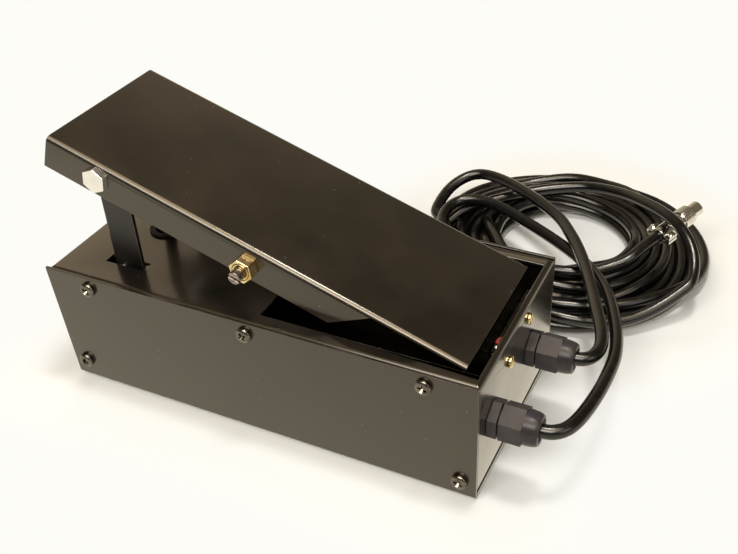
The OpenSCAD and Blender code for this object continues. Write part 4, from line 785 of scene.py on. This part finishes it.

# Cords: the given way from each gland to the coil, the turns, then the way to the plug (millimetres)
cordSet = {"diameter": 6.5, "coilAt": (78.0, 150.0), "floor": 3.25, "seed": 7, "stepMm": 6.0,
           "turnPoints": 14, "wander": 4.0, "changeOver": 2.2, "intoPlug": (0.0, 5.0, 10.0),
           "archFree": 2, "plugHeld": 4, "heldAbove": 19.4, "roundness": 5, "curveSteps": 3}
settleSet = {"sink": 0.12, "sinkRounds": 260, "restRounds": 140, "sameStrand": 3, "push": 1.2,
             "bothFree": 0.7, "smooth": 0.3, "innerLimit": 40.0, "outerLimit": 86.0, "coilReach": 95.0,
             "ease": (0.6, -0.63), "easeRounds": 8}
cordPlans = {
    "nearCord": {
        "start": [(95.0, -33.5, 35), (108.0, -33.5, 35), (121.4, -33.5, 35)],
        "route": [(127, -32.6, 35), (131.5, -27, 35), (134.3, -17, 34.8), (136.3, -3, 34.5), (137, 12, 33.5),
                  (136.5, 28.5, 32.5), (133, 46, 31), (127, 64, 29), (120.5, 80, 27), (113.5, 93, 25),
                  (106, 103.5, 23.5), (96, 113.5, 22.8), (79, 125.5, 22.5), (59, 137, 22.5),
                  (42, 145.5, 22.8), (27, 150, 22.8), (15, 148.5, 21.5), (9, 139, 20), (10, 127, 18),
                  (17, 116, 17), (29, 106, 17.5), (44, 101, 14)],
        "fromAngle": 235.2, "toAngle": 306.0, "turns": 7,
        "slots": [(59.7, 16.2), (59.7, 9.8), (59.7, 3.3), (53.2, 3.3), (46.8, 3.3), (46.8, 9.8), (53.2, 9.8),
                  (53.2, 16.2)],
        "tail": [(110, 106, 13), (116, 116, 17.5), (122, 128, 22.5), (126.6, 139, 24.3)],
        "plug": "plug_a", "plugAt": (130.5, 147.5, 24.8),
        "replaces": ("cord_near", "coil_inner", "cord_near_tail")},
    "farCord": {
        "start": [(95.0, 17, 35), (108.0, 17, 35), (121.4, 17, 35)],
        "route": [(126, 18.3, 35), (129.3, 24.5, 35), (128.8, 34, 35), (125, 46, 34.6), (119, 60, 33.5),
                  (112.5, 76, 32), (105, 93, 31), (95, 112, 30.5), (86, 126, 30), (75, 140, 29.5),
                  (52, 158, 28.5), (29, 172, 26.5), (13, 175, 24.5), (3, 164, 21), (0, 148, 16.5),
                  (3, 130, 12)],
        "fromAngle": 194.9, "toAngle": 278.0, "turns": 5,
        "slots": [(79.5, 10.0), (83.5, 3.3), (76.5, 3.3), (69.5, 3.3), (67.0, 9.8), (82.0, 9.8)],
        "overPlug": [(119, 73, 10), (131.5, 79.5, 12), (144, 89, 15), (153, 105, 17.5), (155, 120.5, 20.5),
                     (153, 132, 26), (147, 141.5, 31.5), (136.4, 152.5, 34.4), (121, 167, 32),
                     (100, 183, 26.5), (77, 189, 22), (53, 181, 19), (28, 171, 16), (11, 161, 12)],
        "tail": [(4, 152, 8), (0, 141, 5), (-6, 129, 4.2), (-7, 115, 5.2)],
        "plug": "plug_b", "plugAt": (-4, 104, 6),
        "replaces": ("cord_far", "coil_outer", "cord_far_tail")}}


def smoothLine(points, step, spanSteps=12):  # Catmull-Rom line through the points, resampled at an even step
    p = np.array(points, float)
    p = np.vstack([2 * p[0] - p[1], p, 2 * p[-1] - p[-2]])
    out = []
    for i in range(1, len(p) - 2):
        a, b, c, d = p[i - 1:i + 3]
        for t in np.linspace(0, 1, spanSteps, endpoint=False):
            out.append(0.5 * (2 * b + (c - a) * t + (2 * a - 5 * b + 4 * c - d) * t * t
                              + (3 * b - a - 3 * c + d) * t ** 3))
    out.append(p[-2])
    out = np.array(out)
    along = np.concatenate([[0], np.cumsum(np.linalg.norm(np.diff(out, axis=0), axis=1))])
    at = np.linspace(0, along[-1], max(2, round(along[-1] / step) + 1))
    return np.stack([np.interp(at, along, out[:, k]) for k in range(3)], axis=1)


def coilPoints(plan, s, draw):  # each turn keeps to its slot, (radius, height), and changes over to the next
    total = plan["turns"] * 360 + plan["toAngle"] - plan["fromAngle"]
    count = round(total / 360 * s["turnPoints"])
    slots = np.array(plan["slots"])
    lean = draw.uniform(-1, 1, (len(slots), 2)) * s["wander"]  # each turn lies a little off the middle
    points = []
    for k in range(1, count):
        share = k / count
        place = share * (len(slots) - 1)
        i = min(int(place), len(slots) - 2)
        t = place - i
        t = min(max((t - 0.5) * s["changeOver"] + 0.5, 0), 1)
        t = t * t * (3 - 2 * t)
        radius, height = slots[i] * (1 - t) + slots[i + 1] * t
        shift = lean[i] * (1 - t) + lean[i + 1] * t
        angle = math.radians(plan["fromAngle"] + total * share)
        points.append((s["coilAt"][0] + shift[0] + radius * math.cos(angle),
                       s["coilAt"][1] + shift[1] + radius * math.sin(angle), height))
    return points


def partStrands(p, free, near, diameter, s):  # pushes strands that overlap a diameter apart
    gap = p[:, None, :] - p[None, :, :]
    far = np.linalg.norm(gap, axis=2)
    i, j = np.nonzero((far < diameter) & ~near)
    once = i < j
    i, j = i[once], j[once]
    d = np.maximum(far[i, j], tiny)
    push = gap[i, j] / d[:, None] * ((diameter - d) * 0.5)[:, None]
    push = push * np.where(free[i] ^ free[j], 1.0, s["bothFree"])[:, None]
    move = np.zeros_like(p)
    weight = np.zeros(len(p))
    np.add.at(move, i, push)
    np.add.at(move, j, -push)
    np.add.at(weight, i, 1)
    np.add.at(weight, j, 1)
    p[free] += (move / np.maximum(weight, 1)[:, None])[free] * s["push"]


def keepSteps(q, free, rest, s):  # keeps the length of each step, and the line smooth
    for odd in (0, 1):
        a, b = q[odd:-1:2], q[odd + 1::2]
        d = b - a
        length = np.maximum(np.linalg.norm(d, axis=1), tiny)
        fix = d * ((length - rest[odd::2]) / length * 0.5)[:, None]
        a += fix * free[odd:-1:2, None]
        b -= fix * free[odd + 1::2, None]
    bend = (q[:-2] + q[2:]) / 2 - q[1:-1]
    q[1:-1] += s["smooth"] * bend * free[1:-1, None]


def keepInCoil(p, free, middle, s):  # brings strands back between the coil's inner and outer limits
    flat = p[:, :2] - np.array(middle)
    radius = np.linalg.norm(flat, axis=1)
    wanted = np.clip(radius, s["innerLimit"], s["outerLimit"])
    inCoil = free & (radius < s["coilReach"])
    p[inCoil, :2] += (flat * ((wanted - radius) / np.maximum(radius, tiny))[:, None] * 0.5)[inCoil]


def settle(lines, held, c, s):  # lets free points sink while strands part, then only part
    sizes = [len(line) for line in lines]
    cuts = np.cumsum(sizes)[:-1]
    p = np.vstack(lines)
    free = ~np.concatenate(held)
    owner = np.repeat(np.arange(len(lines)), sizes)
    index = np.concatenate([np.arange(n) for n in sizes])
    near = np.abs(index[:, None] - index[None, :]) <= s["sameStrand"]
    near &= owner[:, None] == owner[None, :]
    rests = [np.linalg.norm(np.diff(line, axis=0), axis=1) for line in lines]
    for n in range(s["sinkRounds"] + s["restRounds"]):
        if n < s["sinkRounds"]:
            p[free, 2] -= s["sink"]
        partStrands(p, free, near, c["diameter"], s)
        for q, loose, rest in zip(np.split(p, cuts), np.split(free, cuts), rests):
            keepSteps(q, loose, rest, s)
        keepInCoil(p, free, c["coilAt"], s)
        p[free, 2] = np.maximum(p[free, 2], c["floor"])
    return np.split(p, cuts)


def easeBends(line, fixed, floor, s):  # takes out short kinks and keeps the size of the turns
    p = line.copy()
    for share in s["ease"] * s["easeRounds"]:
        bend = (p[:-2] + p[2:]) / 2 - p[1:-1]
        p[1:-1] += share * bend * ~fixed[1:-1, None]
    p[:, 2] = np.maximum(p[:, 2], floor)
    return p


def layCords(plans, c, s):
    draw = np.random.default_rng(c["seed"])
    lines = []
    held = []
    for plan in plans.values():
        axis = plugAxis(plugTurns[plan["plug"]])
        end = [tuple(np.array(plan["plugAt"]) + axis * k) for k in c["intoPlug"]]
        laid = plan["start"] + plan["route"]
        turns = coilPoints(plan, c, draw)
        line = smoothLine(laid + turns + plan.get("overPlug", []) + plan["tail"] + end, c["stepMm"])
        arch = smoothLine(laid, c["stepMm"])
        fixed = line[:, 2] > c["heldAbove"]  # the strand that lies over the plug
        fixed[:len(arch) - c["archFree"]] = True
        fixed[-c["plugHeld"]:] = True
        lines.append(line)
        held.append(fixed)
    lines = settle(lines, held, c, s)
    lines = [easeBends(line, fixed, c["floor"], s) for line, fixed in zip(lines, held)]
    return dict(zip(plans, lines))


cordLines = layCords(cordPlans, cordSet, settleSet)
for name, plan in cordPlans.items():
    line = cordLines[name]
    data = bpy.data.curves.new(name, "CURVE")
    data.dimensions = "3D"
    data.bevel_depth = cordSet["diameter"] / 2 * mm
    data.bevel_resolution = cordSet["roundness"]
    data.resolution_u = cordSet["curveSteps"]
    data.use_fill_caps = True
    spline = data.splines.new("NURBS")
    spline.points.add(len(line) - 1)
    spline.points.foreach_set("co", np.hstack([line * mm, np.ones((len(line), 1))]).ravel())
    spline.order_u = 4  # cubic
    spline.use_endpoint_u = True
    data.materials.append(finishes["blackVinylJacket"])
    cord = addPiece(name, data, "base", plan["replaces"])
